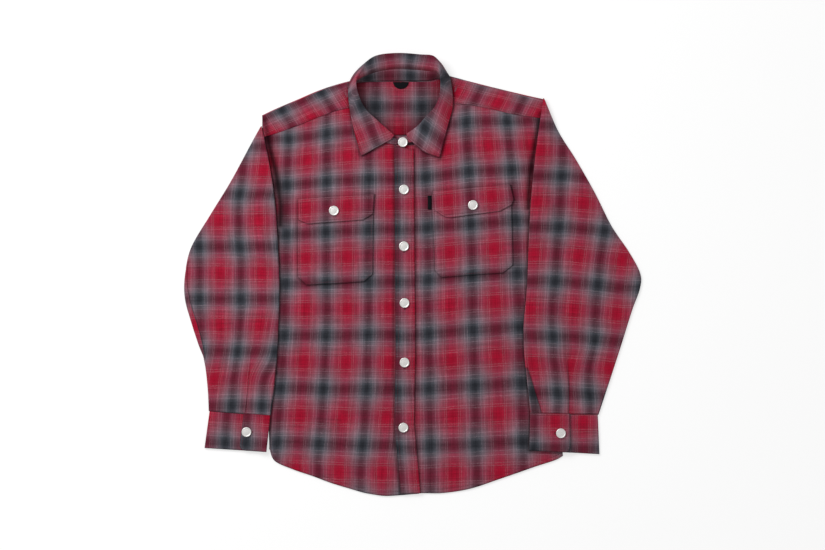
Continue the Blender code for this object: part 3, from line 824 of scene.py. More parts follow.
def yoke_neck():
    """The yoke between its shoulders, up to the neck seam."""
    neck_x = (SHOULDERS["right"][-1][0], *BACK_NECK_X, SHOULDERS["left"][0][0])
    at = even_steps([(x, 0) for x in neck_x], HIDDEN_CELL)
    x, share = np.meshgrid(np.interp(at, range(len(neck_x)), neck_x), np.linspace(0, 1, YOKE_ROWS_BEHIND))
    seam_y = NECK_SEAM_Y + NECK_UNDER_STAND + NECK_RISE * np.exp(-((x - NECK_RISE_X) / 12) ** 2)
    y = blend(BACK_YOKE_SEAM_Y, seam_y, share)
    return patch_on(np.stack([x, y, np.full(x.shape, BACK_Z + CLOTH / 2)], axis=-1), "back")


def yoke_lining():
    """The cloth inside the neck, which lies in the collar's shade, given as painted shade."""
    neck = tuple((x, NECK_SEAM_Y + LINING_INSET - 1) for x in BACK_NECK_X)
    x, share = np.meshgrid(np.linspace(*LINING_X, LINING_POINTS[0]), np.linspace(0, 1, LINING_POINTS[1]))
    top = read(SHOULDERS["right"] + neck + SHOULDERS["left"], x) - LINING_INSET
    y = blend(BACK_YOKE_SEAM_Y - LINING_OVER_SEAM, top, share)
    points = np.stack([x, y, YOKE_LINING_Z + CLOTH / 2 + 0.5 * swells(x, y)], axis=-1)
    # Painted shade: a little darker all over, and more near the collar's fold.
    shade = INSIDE_NECK_PAINTED_SHADE + contact_painted_shade(points, collar_outline("fold"), *NECK_PAINTED_SHADE)
    return patch_on(points, "yoke_inner", straight_weave, shade)


def make_yoke(flannel):
    right, left = (yoke_wing(side) for side in SIDES)
    return {
        "yoke_outer": sew("yoke_outer", [right, yoke_neck(), left], CLOTH, flannel),
        "yoke_inner": sew("yoke_inner", [yoke_lining()], CLOTH, flannel),
        "yoke_right_points": right.points,
        "yoke_left_points": left.points,
    }


# ---- collar ----


def collar_positions():
    count = len(COLLAR) - 1
    return np.linspace(0, count, count * SECTION_STEPS + 1)


def collar_line(part):
    corners = LEAF_POINTS if part == "edge" else ()
    return curve([getattr(section, part) for section in COLLAR], collar_positions(), corners)


def leaf_points():
    """The leaf, a row for each line along the collar: up from the stand, over the fold, out to its edge."""
    at = np.concatenate([np.linspace(0, 3, LEAF_FOLD_STEPS + 1)[:-1], np.linspace(3, 5, LEAF_FLAT_STEPS)])
    columns = []
    for places in zip(*(collar_line(part) for part in ("top", "fold", "edge"))):
        top, fold, edge = (Vector(place) for place in places)
        to_top = (top - fold).normalized()
        to_edge = (edge - fold).normalized()
        inward = (to_top + to_edge).normalized() * LEAF_FOLD_RADIUS
        across = (to_top - to_edge).normalized() * LEAF_FOLD_RADIUS
        over = fold + inward - across
        crown = min(LEAF_CROWN_MOST, LEAF_CROWN * (edge - over).length)
        profile = [top + to_top * LEAF_OVER_STAND, fold + inward + across, fold, over,
                   over.lerp(edge, 0.5) + Vector((0, 0, crown)), edge + Vector((0, 0, LEAF_LIFT))]
        columns.append(curve([tuple(point) for point in profile], at))
    return np.array(columns).transpose(1, 0, 2)


def leaf_weave(points):
    """The check runs along the neck at the back, and square to each front edge on the leaf's two points."""
    at = collar_positions()
    x, y = points[..., 0], points[..., 1]
    along = reach_along(collar_line("fold"))
    along -= along[COLLAR_MIDDLE * SECTION_STEPS]
    back = np.stack([np.broadcast_to(along / WARP_REPEAT + LEAF_WEAVE_AT[0], x.shape),
                     LEAF_WEAVE_AT[1] - reach_along(points) / WEFT_REPEAT], axis=-1)
    shares = {
        "right": 1 - soft_step((at - LEAF_BACK[0]) / LEAF_BLEND),
        "left": soft_step((at - LEAF_BACK[1] + LEAF_BLEND) / LEAF_BLEND),
    }
    weave = back * (1 - shares["right"] - shares["left"])[None, :, None]
    meets_at = {"right": LEAF_BACK[0] + LEAF_BLEND // 2, "left": LEAF_BACK[1] - LEAF_BLEND // 2}
    for side in SIDES:
        point = straight_weave("leaf_" + side, x, y)
        # Whole repeats are added where the zones meet, so that the check flows from one to the next.
        column = meets_at[side] * SECTION_STEPS
        point += np.round(np.median(back[:, column] - point[:, column], axis=0))
        weave += point * shares[side][None, :, None]
    return weave


def stand_points():
    """The stand's rows from the neck seam up, with its two ends that cross under the top button."""
    steps = np.linspace(0, 2, END_STEPS + 1)
    edges = []
    for level, part in enumerate(("seam", "top")):
        line = collar_line(part)
        right = curve([*(pair[level] for pair in STAND_END_RIGHT), line[0]], steps)
        left = curve([line[-1], *(pair[level] for pair in STAND_END_LEFT)], steps)
        edges.append(np.vstack([right[:-1], line, left[1:]]))
    return np.array([blend(*edges, share) for share in np.linspace(0, 1, STAND_STEPS)])


def stand_weave(points):
    """The check runs along the stand, and with the placket's at the front."""
    along = reach_along(points[STAND_STEPS // 2])
    along -= along[END_STEPS + COLLAR_MIDDLE * SECTION_STEPS]
    weave = np.stack([np.broadcast_to(along / WARP_REPEAT + STAND_WEAVE_AT[0], points.shape[:2]),
                      STAND_WEAVE_AT[1] + reach_along(points) / WEFT_REPEAT], axis=-1)
    at_front = points[0, :, 1] < STAND_FRONT_Y
    weave[:, at_front] = panel_weave("placket", points[:, at_front, 0], points[:, at_front, 1])
    return weave


def make_collar(flannel):
    leaf = leaf_points()
    stand = stand_points()
    return {
        "collar_leaf": sew("collar_leaf", [Patch(leaf, leaf_weave(leaf))], CLOTH, flannel),
        "collar_stand": sew("collar_stand", [Patch(stand, stand_weave(stand))], PRESSED, flannel),
        "collar_leaf_points": leaf,
    }


# ---- sleeves and cuffs ----


def lift_over_body(side, x, y):
    """Height of the layer that lies over the body's side and comes down to the surface beyond it."""
    column = FRONTS[side][0 if side == "right" else -1]
    share = np.clip((y - column.hem_y) / (column.top_y - column.hem_y), 0, 1)
    edge = blend(column.hem_x, column.top_x, share) + read(SIDE_BOW[side], share)
    beyond = edge - x if side == "right" else x - edge
    return ON_BODY_Z * soft_step((RAMP_END - beyond) / (RAMP_END - RAMP_START))


def sleeve_rows(stations):
    """Fine positions along the sleeve, closer together at the rolled end over the armhole."""
    middles = [((station.outer_x + station.inner_x) / 2, (station.outer_y + station.inner_y) / 2)
               for station in stations]
    at = even_steps(middles, SLEEVE_CELL)
    rolled = END_ROLL * (np.linspace(0, 1, 7)[:-1] ** 1.5)
    return np.concatenate([rolled, at[at >= END_ROLL]])


def lay_across(outer, inner, bow, share, ledges):
    """x and y across the sleeve at shares of its width, pulled in from the silhouette at each side."""
    width = np.linalg.norm(outer - inner, axis=1)[:, None]
    inset = (ledges[:, :1] + share * (width - ledges.sum(axis=1, keepdims=True))) / width
    xy = outer[:, None, :] + (inner - outer)[:, None, :] * inset[..., None]
    return xy[..., 0] + bow * np.sin(math.pi * inset), xy[..., 1]


def sleeve_turn(edge, direction, loft, ledge):
    """The fold at one side: a half round where the two cloths meet, or a step down to the ledge."""
    rows = []
    for degrees in np.linspace(-90, 90, TURN_STEPS + 2)[1:-1]:
        share = (degrees + 90) / 180
        angle = math.radians(degrees)
        out = loft / 2 * math.cos(angle) - ledge * soft_step(share / 0.8)
        stepped = LEDGE_LAYER + (loft - LEDGE_LAYER) * soft_step((share - 0.72) / 0.28)
        rise = np.where(ledge > LEAST_LEDGE, stepped, loft / 2 * (1 + math.sin(angle)))
        rows.append(np.concatenate([edge[:, :2] + direction * out, edge[:, 2:] + rise], axis=1))
    return np.array(rows).transpose(1, 0, 2)


# A sleeve as rings of points, the number of its columns from the outer fold to the pleat, how far the pleat
# has opened in each ring, and where the outer and the inner fold are stepped back.
Sleeve = namedtuple("Sleeve", "ring to_pleat opened stepped")


def sleeve_shape(side):
    """Each ring runs underneath from the outer fold, round the inner one, back on top, round the outer."""
    stations = SLEEVES[side]
    pleat = PLEATS[side]
    at = sleeve_rows(stations)
    last = len(stations) - 1
    lines = curve([tuple(station) for station in stations], at)
    outer, inner, bow = lines[:, 0:2], lines[:, 2:4], lines[:, 4:5]
    ledges = np.maximum(lines[:, 5:7], 0)
    outward = (outer - inner) / np.linalg.norm(outer - inner, axis=1)[:, None]
    end_roll = np.sqrt(np.clip(1 - (1 - np.clip(at / END_ROLL, 0, 1)) ** 2, 0, 1))[:, None]
    loft = SLEEVE_LOFT * blend(END_LOFT, 1, end_roll)

    # Shares across the upper cloth, outer to inner, with one line of points kept on the pleat.
    pleat_at = read(((pleat.first, pleat.top_share), (last, pleat.cuff_share)), at)[:, None]
    opened = soft_step((at - pleat.first) / (last - pleat.first) * 1.6)
    even = np.linspace(0, 1, SLEEVE_SPANS + 1)[None, :]
    to_pleat = round(pleat.top_share * SLEEVE_SPANS)
    kept = to_pleat / SLEEVE_SPANS
    shares = np.where(even <= kept, even / kept * pleat_at, 1 - (1 - even) / (1 - kept) * (1 - pleat_at))

    x, y = lay_across(outer, inner, bow, np.broadcast_to(even, shares.shape), np.zeros(ledges.shape))
    under = np.stack([x, y, lift_over_body(side, x, y) + CLOTH / 2], axis=-1)
    x, y = lay_across(outer, inner, bow, shares, ledges)
    past_pleat = soft_step(0.5 + (shares - pleat_at) / PLEAT_SOFTNESS)
    near_pleat = np.exp(-np.abs(shares - pleat_at) / PLEAT_REACH)
    step = pleat.height * opened[:, None] * near_pleat * (past_pleat - 0.5)
    relief = (creased(SLEEVE_CREASES[side], x, y) + swells(x, y)) * end_roll
    z = lift_over_body(side, x, y) + CLOTH / 2 + loft + SLEEVE_PUFF * np.sin(math.pi * shares) + step + relief
    upper = np.stack([x, y, z], axis=-1)
    inner_turn = sleeve_turn(under[:, -1], -outward, loft, ledges[:, 1:])
    outer_turn = sleeve_turn(under[:, 0], outward, loft, ledges[:, :1])
    ring = np.concatenate([under, inner_turn, upper[:, ::-1], outer_turn[:, ::-1]], axis=1)
    return Sleeve(ring, to_pleat, opened, ledges > LEAST_LEDGE)


def make_sleeve(side, flannel):
    ring, to_pleat, opened, stepped = sleeve_shape(side)
    node = "sleeve_" + side
    under = SLEEVE_SPANS + 1
    upper = under + TURN_STEPS
    at_pleat = upper + SLEEVE_SPANS - to_pleat
    upper_end = upper + SLEEVE_SPANS

    weave = panel_weave(node, ring[..., 0], ring[..., 1])
    # Underneath, the check carries on round the outer fold, so it runs the other way.
    weave[:, :under, 0] = 2 * weave[:, :1, 0] - weave[:, :under, 0]
    shift = np.zeros((ring.shape[0] - 1, ring.shape[1]))
    taken = PLEATS[side].taken * opened[:-1, None]
    if side == "right":
        shift[:, upper:at_pleat] = -taken
    else:
        shift[:, at_pleat:upper_end] = taken
    # Past a stepped-back fold the lower layer shows, at another place of the check.
    shift[:, under:upper][stepped[:-1, 1]] = LEDGE_SHIFT[side]
    shift[:, upper_end + 1:][stepped[:-1, 0]] = LEDGE_SHIFT[side]

    # Painted shade at both ends of the sleeve, along the opened pleat, and at each stepped-back fold and the
    # lower layer past it.
    shade = np.zeros(ring.shape[:2])
    shade[0] = SLEEVE_TOP_PAINTED_SHADE
    shade[-1] = SLEEVE_END_PAINTED_SHADE
    shade[:, at_pleat] = PLEAT_PAINTED_SHADE * opened
    shade[:, under + 1:upper] = LEDGE_PAINTED_SHADE * stepped[:, 1:]
    shade[:, upper] = LEDGE_LINE_PAINTED_SHADE * stepped[:, 1]
    shade[:, upper_end] = LEDGE_LINE_PAINTED_SHADE * stepped[:, 0]
    return sew(node, [Patch(ring, weave, True, shift, shade)], CLOTH, flannel)


def cuff_path(lap):
    """Positions across and layers of one line round a cuff: from the end under the button, round the outer
    fold, underneath, round the inner fold and back on top to the buttoned end."""
    near, far = CUFF_TURN, 1 - CUFF_TURN
    turns = [math.radians(degrees) for degrees in range(20, 161, 20)]
    path = [(share, 1.0) for share in np.linspace(lap + CUFF_LAP_UNDER, near, 24)]
    path += [(near * (1 - math.sin(turn)), 0.5 + 0.5 * math.cos(turn)) for turn in turns]
    path += [(share, 0.0) for share in np.linspace(near, far, 30)]
    path += [(far + near * math.sin(turn), 1 - math.cos(turn)) for turn in turns]
    path += [(share, 2.0) for share in np.linspace(far, lap, CUFF_TOP_POINTS)]
    return np.array(path)


def make_cuff(side, flannel):
    cuff = CUFFS[side]
    share, layer = cuff_path(cuff.lap).T[:, None, :]
    along = np.linspace(-CUFF_OVER_SLEEVE, 1, CUFF_ROWS)[:, None]
    outer = blend(np.array(cuff.outer_top), np.array(cuff.outer_end), along)
    inner = blend(np.array(cuff.inner_top), np.array(cuff.inner_end), along)
    # The buttoned end has a rounded lower corner.
    width = np.linalg.norm(outer - inner, axis=1)[:, None]
    to_edge = (1 - along) * math.dist(cuff.outer_top, cuff.outer_end)
    into_corner = np.clip(CUFF_CORNER - to_edge, 0, None)
    cut = CUFF_CORNER - np.sqrt(np.clip(CUFF_CORNER**2 - into_corner**2, 0, None))
    on_top = np.clip(layer - 1, 0, 1) * np.clip(1 - (share - cuff.lap) / (1 - cuff.lap), 0, 1)
    share = share + on_top * cut / width
    x = outer[:, :1] + (inner[:, :1] - outer[:, :1]) * share
    y = outer[:, 1:] + (inner[:, 1:] - outer[:, 1:]) * share
    puff = CUFF_PUFF * np.sin(math.pi * np.clip(along, 0, 1)) * (layer > 0.4)
    z = lift_over_body(side, x, y) + PRESSED / 2 + layer * CUFF_LAYER + puff
    points = np.stack([x, y, z], axis=-1)
    node = "cuff_" + side
    on_top = np.broadcast_to(layer > 1, x.shape)[..., None]
    weave = np.where(on_top, straight_weave(node + "_top", x, y), straight_weave(node, x, y))
    return sew(node, [Patch(points, weave)], PRESSED, flannel), points


def make_sleeves(flannel):
    made = {}
    for side in SIDES:
        made["sleeve_" + side] = make_sleeve(side, flannel)
        made["cuff_" + side], points = make_cuff(side, flannel)
        made[f"cuff_{side}_points"] = points[:, -CUFF_TOP_POINTS:]
    return made


# ---- pockets and labels ----


def between(lower, upper, underside, thickness):
    """A flat piece between its lower and its upper edge, following the front that it lies on."""
    low = curve(lower, even_steps(lower, CELL), range(len(lower)))
    share = reach_along(low)
    high = blend(np.array(upper[0], float), np.array(upper[1], float), (share / share[-1])[:, None])
    height = np.linalg.norm(high - low, axis=1).max()
    xy = np.array([blend(low, high, step) for step in np.linspace(0, 1, math.ceil(height / CELL) + 1)])
    x, y = xy[..., 0], xy[..., 1]
    return np.stack([x, y, underside + thickness / 2 + front_relief(x, y)], axis=-1)


def finish_edge(points, proud, groove_at):
    """The rim turns down, the cloth stands a little proud inside it, and is drawn in along its stitching."""
    x, y = points[..., 0], points[..., 1]
    rim = np.concatenate([points[0, :, :2], points[:, 0, :2], points[:, -1, :2]])
    distance = np.min(np.hypot(x[..., None] - rim[:, 0], y[..., None] - rim[:, 1]), axis=-1)
    points[..., 2] += proud * soft_step(distance / 1.5) - 0.35 * np.exp(-((distance - groove_at) / 1.6) ** 2)
    return points


def make_pockets(flannel):
    made = {}
    for side in SIDES:
        pocket = finish_edge(between(*POCKETS[side], POCKET_Z, CLOTH), 0.3, PATCH_STITCHING)
        flap = finish_edge(between(*FLAPS[side], FLAP_Z, PRESSED), 0.5, EDGE_STITCHING)
        for name, points, thickness in (("pocket_", pocket, CLOTH), ("flap_", flap, PRESSED)):
            made[name + side] = sew(name + side, [patch_on(points, "front_" + side)], thickness, flannel)
            made[name + side + "_points"] = points
    return made


def make_tape(node, place, tape):
    points = np.stack(place, axis=-1)
    sew(node, [Patch(points, np.zeros((*points.shape[:2], 2)))], TAPE, tape, TAPE_SLOT)


def make_labels(tape):
    """The black tapes, both left bare: a half round below the neck seam and a folded tab at the pocket."""
    centre_x, centre_y = LABEL_CENTRE
    angle, reach = np.meshgrid(np.linspace(math.pi, 2 * math.pi, 25), np.linspace(0.05, 1, 8))
    label = (centre_x + LABEL_RADIUS * reach * np.cos(angle),
             centre_y + LABEL_FLATNESS * LABEL_RADIUS * reach * np.sin(angle),
             FRONT_Z + TAPE / 2 + 0.2 * (1 - reach))
    low_x, high_x, low_y, high_y = SIDE_TAB
    x, y = np.meshgrid(np.linspace(low_x, high_x, 8), np.linspace(low_y, high_y, 14))
    tab = (x, y, POCKET_Z + TAPE / 2 + 0.5 * np.sin(math.pi * (x - low_x) / (high_x - low_x)))
    for node, place in (("neck_label", label), ("side_tab", tab)):
        make_tape(node, place, tape)


# ---- buttons, stitches and buttonholes ----


def make_mesh(name, vertices, faces, material):
    mesh = bpy.data.meshes.new(name)
    mesh.from_pydata([tuple(np.asarray(point) * MM) for point in vertices], [], faces)
    return add_object(name, mesh, material)


def button_seat(node):
    """The middle of a CAD button's underside."""
    low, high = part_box(node)
    return (low.x + high.x) / 2 / MM, (low.y + high.y) / 2 / MM, low.z / MM


def make_buttons(metal):
    """Turned metal caps on their shanks, each standing where its CAD button stands."""
    made = {}
    rings = BUTTON_PROFILE[1:-1]
    for node in BUTTONS:
        x, y, z = button_seat(node)
        vertices = [(x, y, z + BUTTON_PROFILE[0][1])]
        for radius, height in rings:
            for k in range(BUTTON_SIDES):
                turn = 2 * math.pi * k / BUTTON_SIDES
                vertices.append((x + radius * math.cos(turn), y + radius * math.sin(turn), z + height))
        vertices.append((x, y, z))
        bottom = len(vertices) - 1
        faces = []
        for k in range(BUTTON_SIDES):
            j = (k + 1) % BUTTON_SIDES
            starts = [1 + ring * BUTTON_SIDES for ring in range(len(rings))]
            column = [(start + k, start + j) for start in starts]
            faces += [(0, *column[0]), (bottom, *reversed(column[-1]))]
            faces += [(a, c, d, b) for (a, b), (c, d) in zip(column, column[1:])]
        made[node] = carry(make_mesh(node + "_cap", vertices, faces, metal), node)
    return made


def stitch(start, end, radius):
    """A short thread with pointed ends, as points and faces."""
    start, end = Vector(start), Vector(end)
    along = (end - start).normalized()
    across = along.cross(Vector((0, 0, 1))).normalized()
    up = across.cross(along)
    points = [start]
    for place in (0.22, 0.78):
        for k in range(STITCH_SIDES):
            turn = 2 * math.pi * k / STITCH_SIDES
            points.append(start.lerp(end, place) + radius * (across * math.cos(turn) + up * math.sin(turn)))
    points.append(end)
    faces = []
    for k in range(STITCH_SIDES):
        a, b = 1 + k, 1 + (k + 1) % STITCH_SIDES
        c, d = a + STITCH_SIDES, b + STITCH_SIDES
        faces += [(0, b, a), (a, b, d, c), (len(points) - 1, c, d)]
    return points, faces


def make_threads(name, stitches, material):
    """Stitches joined into one piece."""
    vertices = []
    faces = []
    for points, stitch_faces in stitches:
        faces += [tuple(len(vertices) + index for index in face) for face in stitch_faces]
        vertices += points
    return carry(make_mesh(name, vertices, faces, material))


def stitches_along(lines, lift):
    """Running stitches along lines of points, lift above them."""
    stitches = []
    for line in lines:
        reach = reach_along(line)
        starts = np.arange(STITCH_PITCH / 2, reach[-1] - STITCH_LENGTH, STITCH_PITCH)
        ends = [np.stack([np.interp(at, reach, line[:, axis]) for axis in range(3)], axis=-1) + (0, 0, lift)
                for at in (starts, starts + STITCH_LENGTH)]
        stitches += [stitch(start, end, STITCH_RADIUS) for start, end in zip(*ends)]
    return stitches


def inset(points, edge, distance, trim):
    """The line that runs at a distance from one edge of a grid of points, without this much at its ends."""
    grid = points if edge in ("first_row", "last_row") else points.transpose(1, 0, 2)
    grid = grid[::-1] if edge.startswith("last") else grid
    reach = reach_along(grid[..., :2])
    line = np.array([[np.interp(distance, reach[:, k], grid[:, k, axis]) for axis in range(3)]
                     for k in range(grid.shape[1])])
    along = reach_along(line)
    return line[(along >= trim) & (along <= along[-1] - trim)]


# A line of stitches: the edge it follows, how far from it, and how much is left out at its ends. A stitched
# piece: its node, a name, the cloth's thickness, its lines, and the grids they lie on if not its own.
Line = namedtuple("Line", "edge distance trim")
Seam = namedtuple("Seam", "node name thickness lines grids", defaults=((),))


def seams():
    """Every topstitched piece, in the order it is sewn."""
    sides = ("first_column", "last_column")
    round_three = ("first_row", *sides)
    round_cuff = (("last_row", 4), ("first_row", 4), ("last_column", 6))
    yield Seam("placket_band", "placket", PRESSED, [Line(edge, EDGE_STITCHING, 0) for edge in sides])
    for side in SIDES:
        pocket, flap, front, cuff = (f"{piece}_{side}" for piece in ("pocket", "flap", "front", "cuff"))
        yield Seam(pocket, pocket, CLOTH, [Line(edge, PATCH_STITCHING, 3) for edge in round_three])
        yield Seam(flap, flap, PRESSED, [Line(edge, EDGE_STITCHING, 5) for edge in round_three])
        yield Seam(front, f"hem_{side}", CLOTH, [Line("first_row", HEM_FOLD, 0)])
        yield Seam(cuff, cuff, PRESSED, [Line(edge, CUFF_STITCHING, trim) for edge, trim in round_cuff])
    shoulders = [Line("last_row", PATCH_STITCHING, 0)]
    yield Seam("yoke_outer", "yoke", CLOTH, shoulders, ("yoke_right", "yoke_left"))
    yield Seam("collar_leaf", "collar", CLOTH, [Line("last_row", EDGE_STITCHING, 5)])


def make_stitching(made, thread):
    """Every topstitched line, as one joined piece for each cloth it is sewn through."""
    stitching = {}
    for sewn in seams():
        grids = sewn.grids or (sewn.node,)
        lines = [inset(made[grid + "_points"], *line) for grid in grids for line in sewn.lines]
        stitches = stitches_along(lines, sewn.thickness / 2 + STITCH_LIFT)
        stitching[sewn.node] = [make_threads(sewn.name + "_stitching", stitches, thread)]
    return stitching


def make_buttonhole(name, middle, along, materials):
    """A worked buttonhole: close stitches square to a dark slit, with a bar at each end."""
    across = Vector((-along.y, along.x, 0))
    ends = [middle + along * share * HOLE_LENGTH / 2 for share in (-1, 1)]
    border = [stitch(end - across * HOLE_BAR, end + across * HOLE_BAR, HOLE_RADII["bar"]) for end in ends]
    for step in np.arange(-HOLE_LENGTH / 2, HOLE_LENGTH / 2, HOLE_PITCH):
        for outward in (-across, across):
            start = middle + along * step + outward * HOLE_WIDTH / 2
            border.append(stitch(start, start + outward * HOLE_BORDER, HOLE_RADII["border"]))
    return [
        make_threads(name + "_border", border, materials.thread),
        make_threads(name + "_slit", [stitch(*ends, HOLE_RADII["slit"])], materials.tape),
    ]


def make_buttonholes(materials):
    """One under each button of the placket, where it is upright, and of the cuffs, where it is level."""
    holes = {}
    for node in BUTTONS:
        if "flap" in node or node == "button_front_1":
            continue
        middle = Vector(button_seat(node)) + Vector((0, 0, HOLE_LIFT))
        if "cuff" in node:
            cloth = node.replace("button_", "")
            along = Vector((1, 0, 0))
            middle += along * (HOLE_OFFSET if node.endswith("right") else -HOLE_OFFSET)
        else:
            cloth = "placket_band"
            along = Vector((0, 1, 0))
            middle -= along * HOLE_OFFSET
        made = make_buttonhole(node.replace("button", "buttonhole"), middle, along, materials)
        holes[cloth] = holes.get(cloth, []) + made
    return holes


# ---- materials ----


def linear(shade):
    """A linear colour from an sRGB one of 0 to 255."""
    found = []
    for channel in shade:
        value = channel / 255
        found.append(value / 12.92 if value <= 0.04045 else ((value + 0.055) / 1.055) ** 2.4)
    return (*found, 1.0)


class Nodes:
    """Short calls for building a material's node tree."""

    def __init__(self, name, **settings):
        self.material = bpy.data.materials.new(name)
        self.material.use_nodes = True
        self.tree = self.material.node_tree
        self.shader = self.tree.nodes["Principled BSDF"]
        self.set(self.shader, {key.replace("_", " "): value for key, value in settings.items()})

    def add(self, kind, **settings):
        node = self.tree.nodes.new(kind)
        for key, value in settings.items():
            setattr(node, key, value)
        return node

    def set(self, node, inputs):
        """Sets or links a node's inputs, given by name or number."""
        for key, source in inputs.items():
            if isinstance(source, bpy.types.NodeSocket):
                self.tree.links.new(source, node.inputs[key])
            else:
                node.inputs[key].default_value = source
        return node

    def math(self, operation, *inputs):
        return self.set(self.add("ShaderNodeMath", operation=operation), dict(enumerate(inputs))).outputs[0]

    def noise(self, vector, scale, detail, roughness=0.5):
        inputs = {"Vector": vector, "Scale": scale, "Detail": detail, "Roughness": roughness}
        return self.set(self.add("ShaderNodeTexNoise"), inputs).outputs["Fac"]

    def grain(self, vector, scale, detail, spread, middle=1.0, roughness=0.5):
        """Noise spread evenly about a middle value."""
        inputs = {"Value": self.noise(vector, scale, detail, roughness), "From Min": 0.25, "From Max": 0.75,
                  "To Min": middle - spread, "To Max": middle + spread}
        return self.set(self.add("ShaderNodeMapRange"), inputs).outputs["Result"]

    def stretched(self, vector, scale):
        return self.set(self.add("ShaderNodeMapping"), {"Vector": vector, "Scale": scale}).outputs["Vector"]

    def mix(self, blend_type, factor, first, second):
        node = self.add("ShaderNodeMix", data_type="RGBA", blend_type=blend_type)
        return self.set(node, {"Factor": factor, 6: first, 7: second}).outputs[2]

    def ramp(self, value, stops):
        node = self.set(self.add("ShaderNodeValToRGB"), {"Fac": value})
        elements = node.color_ramp.elements
        while len(elements) < len(stops):
            elements.new(0.5)
        for element, (place, _) in zip(elements, stops):
            element.position = place
        for element, (_, colour) in zip(elements, stops):
            element.color = colour
        return node.outputs["Color"]

    def bump(self, height, distance, strength, under=None):
        inputs = {"Height": height, "Distance": distance, "Strength": strength}
        node = self.set(self.add("ShaderNodeBump"), inputs)
        if under is not None:
            self.set(node, {"Normal": under})
        return node.outputs["Normal"]


def check_stops():
    """The square roots of the shades, over one whole repeat, so that warp times weft gives the colour."""
    half = [(place, (*(channel**0.5 for channel in linear(shade)[:3]), 1.0)) for place, shade in SHADES]
    return half + [(1 - place, colour) for place, colour in reversed(half[:-1])]


def stripe_stops():
    black = (0, 0, 0, 1)
    stops = [(0.0, black)]
    for place in (*PALE_STRIPES, *(1 - stripe for stripe in reversed(PALE_STRIPES))):
        stops += [(place - PALE_WIDTH, black), (place, WHITE), (place + PALE_WIDTH, black)]
    return stops


def check_colour(nodes, uv, place):
    """The dyed check: bands of shade along warp and weft, crossed, with a few pale stripes."""
    apart = nodes.set(nodes.add("ShaderNodeSeparateXYZ"), {0: uv})
    halves = []
    stripes = []
    for axis, wander_scale, ragged_scale in (("X", 9.0, 330.0), ("Y", 13.0, 390.0)):
        wander = nodes.grain(place, wander_scale, 2.0, 0.012, 0.0)
        ragged = nodes.grain(place, ragged_scale, 2.0, 0.009, 0.0)
        at = nodes.math("FRACT", nodes.math("ADD", nodes.math("ADD", apart.outputs[axis], wander), ragged))
        halves.append(nodes.ramp(at, check_stops()))
        stripes.append(nodes.ramp(at, stripe_stops()))
    crossed = nodes.mix("MULTIPLY", 1.0, halves[0], halves[1])
    whole = [nodes.mix("MULTIPLY", 1.0, half, half) for half in halves]
    colour = nodes.mix("MIX", SIDE_BY_SIDE, crossed, nodes.mix("MIX", 0.5, whole[0], whole[1]))
    for mask in stripes:
        colour = nodes.mix("MIX", nodes.math("MULTIPLY", mask, PALE_SHARE), colour, linear(PALE_SHADE))
    return colour


def flannel_material():
    nodes = Nodes("flannel_cloth", Roughness=0.95, Specular_IOR_Level=0.05, Sheen_Weight=0.07,
                  Sheen_Roughness=0.5, Sheen_Tint=(1.0, 0.85, 0.87, 1.0))
    uv = nodes.add("ShaderNodeUVMap", uv_map="weave").outputs["UV"]
    place = nodes.add("ShaderNodeTexCoord").outputs["Object"]
    # Slubs along the warp and the weft, and the cloudy pile of a brushed cloth.
    warp = nodes.grain(nodes.stretched(uv, (46, 1.3, 1)), 1.0, 3.0, 0.24)
    weft = nodes.grain(nodes.stretched(uv, (1.3, 58, 1)), 1.0, 3.0, 0.24)
    nap = nodes.grain(place, 45.0, 4.0, 0.10, roughness=0.65)
    fine = nodes.grain(place, 420.0, 2.0, 0.12, roughness=0.6)
    pile = nodes.math("MULTIPLY", nodes.math("MULTIPLY", warp, weft), nodes.math("MULTIPLY", nap, fine))
    # The attribute "shade" is painted shade; it darkens the pile's colour.
    painted_shade_amount = nodes.add("ShaderNodeAttribute", attribute_name="shade").outputs["Fac"]
    shade = nodes.math("MULTIPLY", pile, nodes.math("SUBTRACT", 1.0, painted_shade_amount))
    # The twill's fine ridges, and the fluff that the brushing raised.
    twill = nodes.add("ShaderNodeTexWave", wave_type="BANDS", bands_direction="DIAGONAL")
    threads = nodes.stretched(uv, (WARP_REPEAT, WEFT_REPEAT, 1))
    nodes.set(twill, {"Vector": threads, "Scale": 0.26, "Distortion": 1.5})
    ridges = nodes.bump(twill.outputs["Fac"], 0.00012, 0.35)
    fluff = nodes.bump(nodes.noise(place, 700.0, 3.0, 0.7), 0.0003, 0.5, ridges)
    colour = nodes.mix("MULTIPLY", 1.0, check_colour(nodes, uv, place), shade)
    nodes.set(nodes.shader, {"Base Color": colour, "Normal": fluff})
    return nodes.material


def plain_material(name, shade, scale=600.0, spread=0.12, **settings):
    """One colour with a fine, uneven grain."""
    nodes = Nodes(name, **settings)
    grain = nodes.grain(nodes.add("ShaderNodeTexCoord").outputs["Object"], scale, 3.0, spread)
    colour = nodes.mix("MULTIPLY", 1.0, linear(shade), grain)
    nodes.set(nodes.shader, {"Base Color": colour, "Normal": nodes.bump(grain, 0.0001, 0.2)})
    return nodes.material


Materials = namedtuple("Materials", "flannel thread tape metal floor")


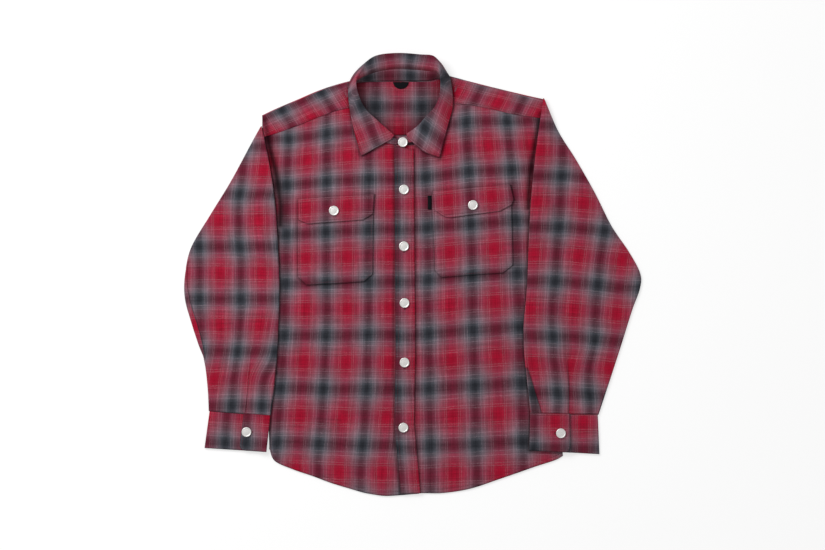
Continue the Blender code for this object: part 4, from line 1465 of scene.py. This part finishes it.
def make_materials():
    """The floor is lit from within as well, so that shadows on it stay faint."""
    return Materials(
        flannel=flannel_material(),
        thread=plain_material("sewing_thread", THREAD_SHADE, spread=0.25, Roughness=0.8,
                              Specular_IOR_Level=0.2),
        tape=plain_material("black_tape", TAPE_SHADE, Roughness=0.8, Specular_IOR_Level=0.1),
        metal=plain_material("button_steel", METAL_SHADE, 900.0, 0.04, Roughness=0.42, Metallic=0.75),
        floor=plain_material("pale_floor", FLOOR_SHADE, 3.0, 0.004, Roughness=0.9, Specular_IOR_Level=0.0,
                             Emission_Color=WHITE, Emission_Strength=FLOOR_GLOW),
    )


# ---- scene ----


def make_floor(material):
    corners = [(-1, -1), (1, -1), (1, 1), (-1, 1)]
    mesh = bpy.data.meshes.new("floor")
    mesh.from_pydata([(x * FLOOR_HALF, y * FLOOR_HALF, FLOOR_Z) for x, y in corners], [], [(0, 1, 2, 3)])
    add_object("floor", mesh, material)


def make_lights():
    for lamp in LAMPS:
        light = bpy.data.lights.new(lamp.name, "AREA")
        light.energy = lamp.power
        light.size = lamp.size
        obj = bpy.data.objects.new(lamp.name, light)
        obj.location = lamp.place
        obj.rotation_mode = "QUATERNION"
        obj.rotation_quaternion = Vector(lamp.place).to_track_quat("Z", "Y")
        bpy.context.scene.collection.objects.link(obj)
    world = bpy.data.worlds.new("studio")
    world.use_nodes = True
    background = world.node_tree.nodes["Background"]
    background.inputs["Color"].default_value = WHITE
    background.inputs["Strength"].default_value = AMBIENT
    bpy.context.scene.world = world
    bpy.context.scene.view_settings.view_transform = "Standard"


def make_camera():
    """A long lens straight above the shirt."""
    lens = bpy.data.cameras.new("camera")
    lens.lens = CAMERA_LENS
    lens.clip_end = 20
    camera = bpy.data.objects.new("camera", lens)
    camera.location = CAMERA_PLACE
    bpy.context.scene.collection.objects.link(camera)
    bpy.context.scene.camera = camera


def main():
    materials = make_materials()
    made = {}
    for make in (make_back, make_fronts, make_yoke, make_collar, make_sleeves, make_pockets):
        made.update(make(materials.flannel))
    make_labels(materials.tape)
    make_buttons(materials.metal)
    stitching = make_stitching(made, materials.thread)
    holes = make_buttonholes(materials)
    make_floor(materials.floor)
    make_lights()
    make_camera()


main()
